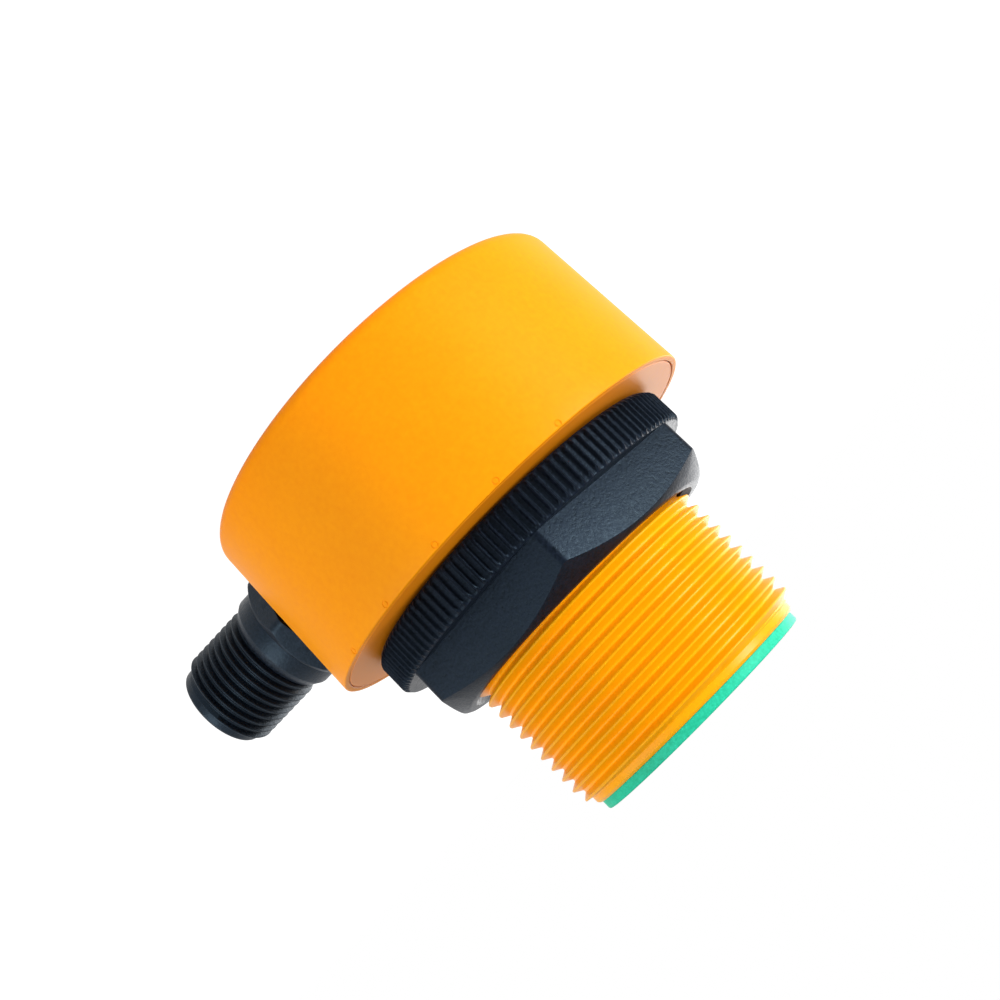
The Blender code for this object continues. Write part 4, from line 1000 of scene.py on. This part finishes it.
def buildFloor():
    bm = bmesh.new()
    half = stage["floorSize"] / 2.0
    corners = ((-half, -half), (half, -half), (half, half), (-half, half))
    bm.faces.new([bm.verts.new((x, y, stage["floorHeight"])) for x, y in corners])
    mesh = bpy.data.meshes.new("floor")
    bm.to_mesh(mesh)
    bm.free()
    floor = bpy.data.objects.new("floor", mesh)
    bpy.context.scene.collection.objects.link(floor)
    material = bpy.data.materials.new("floorWhite")
    material.use_nodes = True
    tree = material.node_tree
    tree.nodes.clear()
    pale = (stage["floorWhite"],) * 3 + (1.0,)
    diffuse = Wire.make(tree, "ShaderNodeBsdfDiffuse", None, {"Color": pale})
    glow = Wire.make(tree, "ShaderNodeEmission", None,
                     {"Color": (1.0, 1.0, 1.0, 1.0), "Strength": stage["glow"]})
    share = whiteForCamera(tree) * (1.0 - stage["shadowShare"])
    mixed = Wire.make(tree, "ShaderNodeMixShader", None, {0: share, 1: diffuse, 2: glow})
    output = tree.nodes.new("ShaderNodeOutputMaterial")
    tree.links.new(mixed.socket, output.inputs["Surface"])
    mesh.materials.append(material)


# The anchor is a point on the part's axis, as the camera sees it: right, down and away
camera = {"focal": 1313.47, "frame": 1000.0, "sensor": 36.0, "nearest": 0.005,
          "tilt": math.radians(10.152), "roll": math.radians(44.504),
          "anchor": Vector((0.0051227, 0.0064139, 0.1372558)), "anchorHeight": 0.025,
          "plugAngle": math.radians(102.5)}


def cameraAxes():      # the camera's right, down and away in the part's frame
    axis = Vector((math.cos(camera["tilt"]) * math.cos(camera["roll"]),
                   math.cos(camera["tilt"]) * math.sin(camera["roll"]), -math.sin(camera["tilt"])))
    away = Vector((0.0, 0.0, 1.0))
    near = -(away - away.dot(axis) * axis).normalized()
    side = axis.cross(near)
    turn = -camera["plugAngle"]
    nearWorld = Vector((math.cos(turn), math.sin(turn), 0.0))
    sideWorld = Vector((-math.sin(turn), math.cos(turn), 0.0))
    up = Vector((0.0, 0.0, 1.0))
    return [axis[index] * up + near[index] * nearWorld + side[index] * sideWorld
            for index in range(3)]


def buildCamera():
    right, down, forward = cameraAxes()
    anchor = camera["anchor"]
    position = (Vector((0.0, 0.0, camera["anchorHeight"])) - right * anchor.x - down * anchor.y
                - forward * anchor.z)
    data = bpy.data.cameras.new("camera")
    data.sensor_width = camera["sensor"]
    data.lens = camera["focal"] * camera["sensor"] / camera["frame"]
    data.clip_start = camera["nearest"]
    item = bpy.data.objects.new("camera", data)
    turned = Matrix((right, -down, -forward)).transposed().to_4x4()
    item.matrix_world = Matrix.Translation(position) @ turned
    bpy.context.scene.collection.objects.link(item)
    bpy.context.scene.camera = item


# Name, direction in the camera's right, up and near, distance, width, power in watts
lamps = [
    ("key", (0.65, 0.60, 0.46), 0.55, 0.16, 3.5),
    ("fill", (-0.64, -0.55, 0.50), 0.60, 0.60, 4.2),
    ("rim", (0.74, 0.24, -0.60), 0.60, 0.30, 1.2),
    ("back", (0.44, -0.02, -0.90), 0.60, 0.36, 0.78),
]
lampTarget = Vector((0.002, 0.0, 0.024))
world = {"light": 0.30, "seen": 1.0}


def buildLight():
    right, down, forward = cameraAxes()
    for name, way, distance, width, power in lamps:
        direction = (right * way[0] - down * way[1] - forward * way[2]).normalized()
        data = bpy.data.lights.new(name, "AREA")
        data.shape = "DISK"
        data.size = width
        data.energy = power
        item = bpy.data.objects.new(name, data)
        item.location = lampTarget + direction * distance
        item.rotation_euler = direction.to_track_quat("Z", "Y").to_euler()
        item.visible_camera = False
        bpy.context.scene.collection.objects.link(item)
    sky = bpy.data.worlds.new("softWhite")
    bpy.context.scene.world = sky
    sky.use_nodes = True
    tree = sky.node_tree
    tree.nodes.clear()
    strength = world["light"] + whiteForCamera(tree) * (world["seen"] - world["light"])
    shine = Wire.make(tree, "ShaderNodeBackground", None,
                      {"Color": (1.0, 1.0, 1.0, 1.0), "Strength": strength})
    output = tree.nodes.new("ShaderNodeOutputWorld")
    tree.links.new(shine.socket, output.inputs["Surface"])


buildFloor()
buildCamera()
buildLight()
bpy.context.scene.view_settings.view_transform = "Standard"
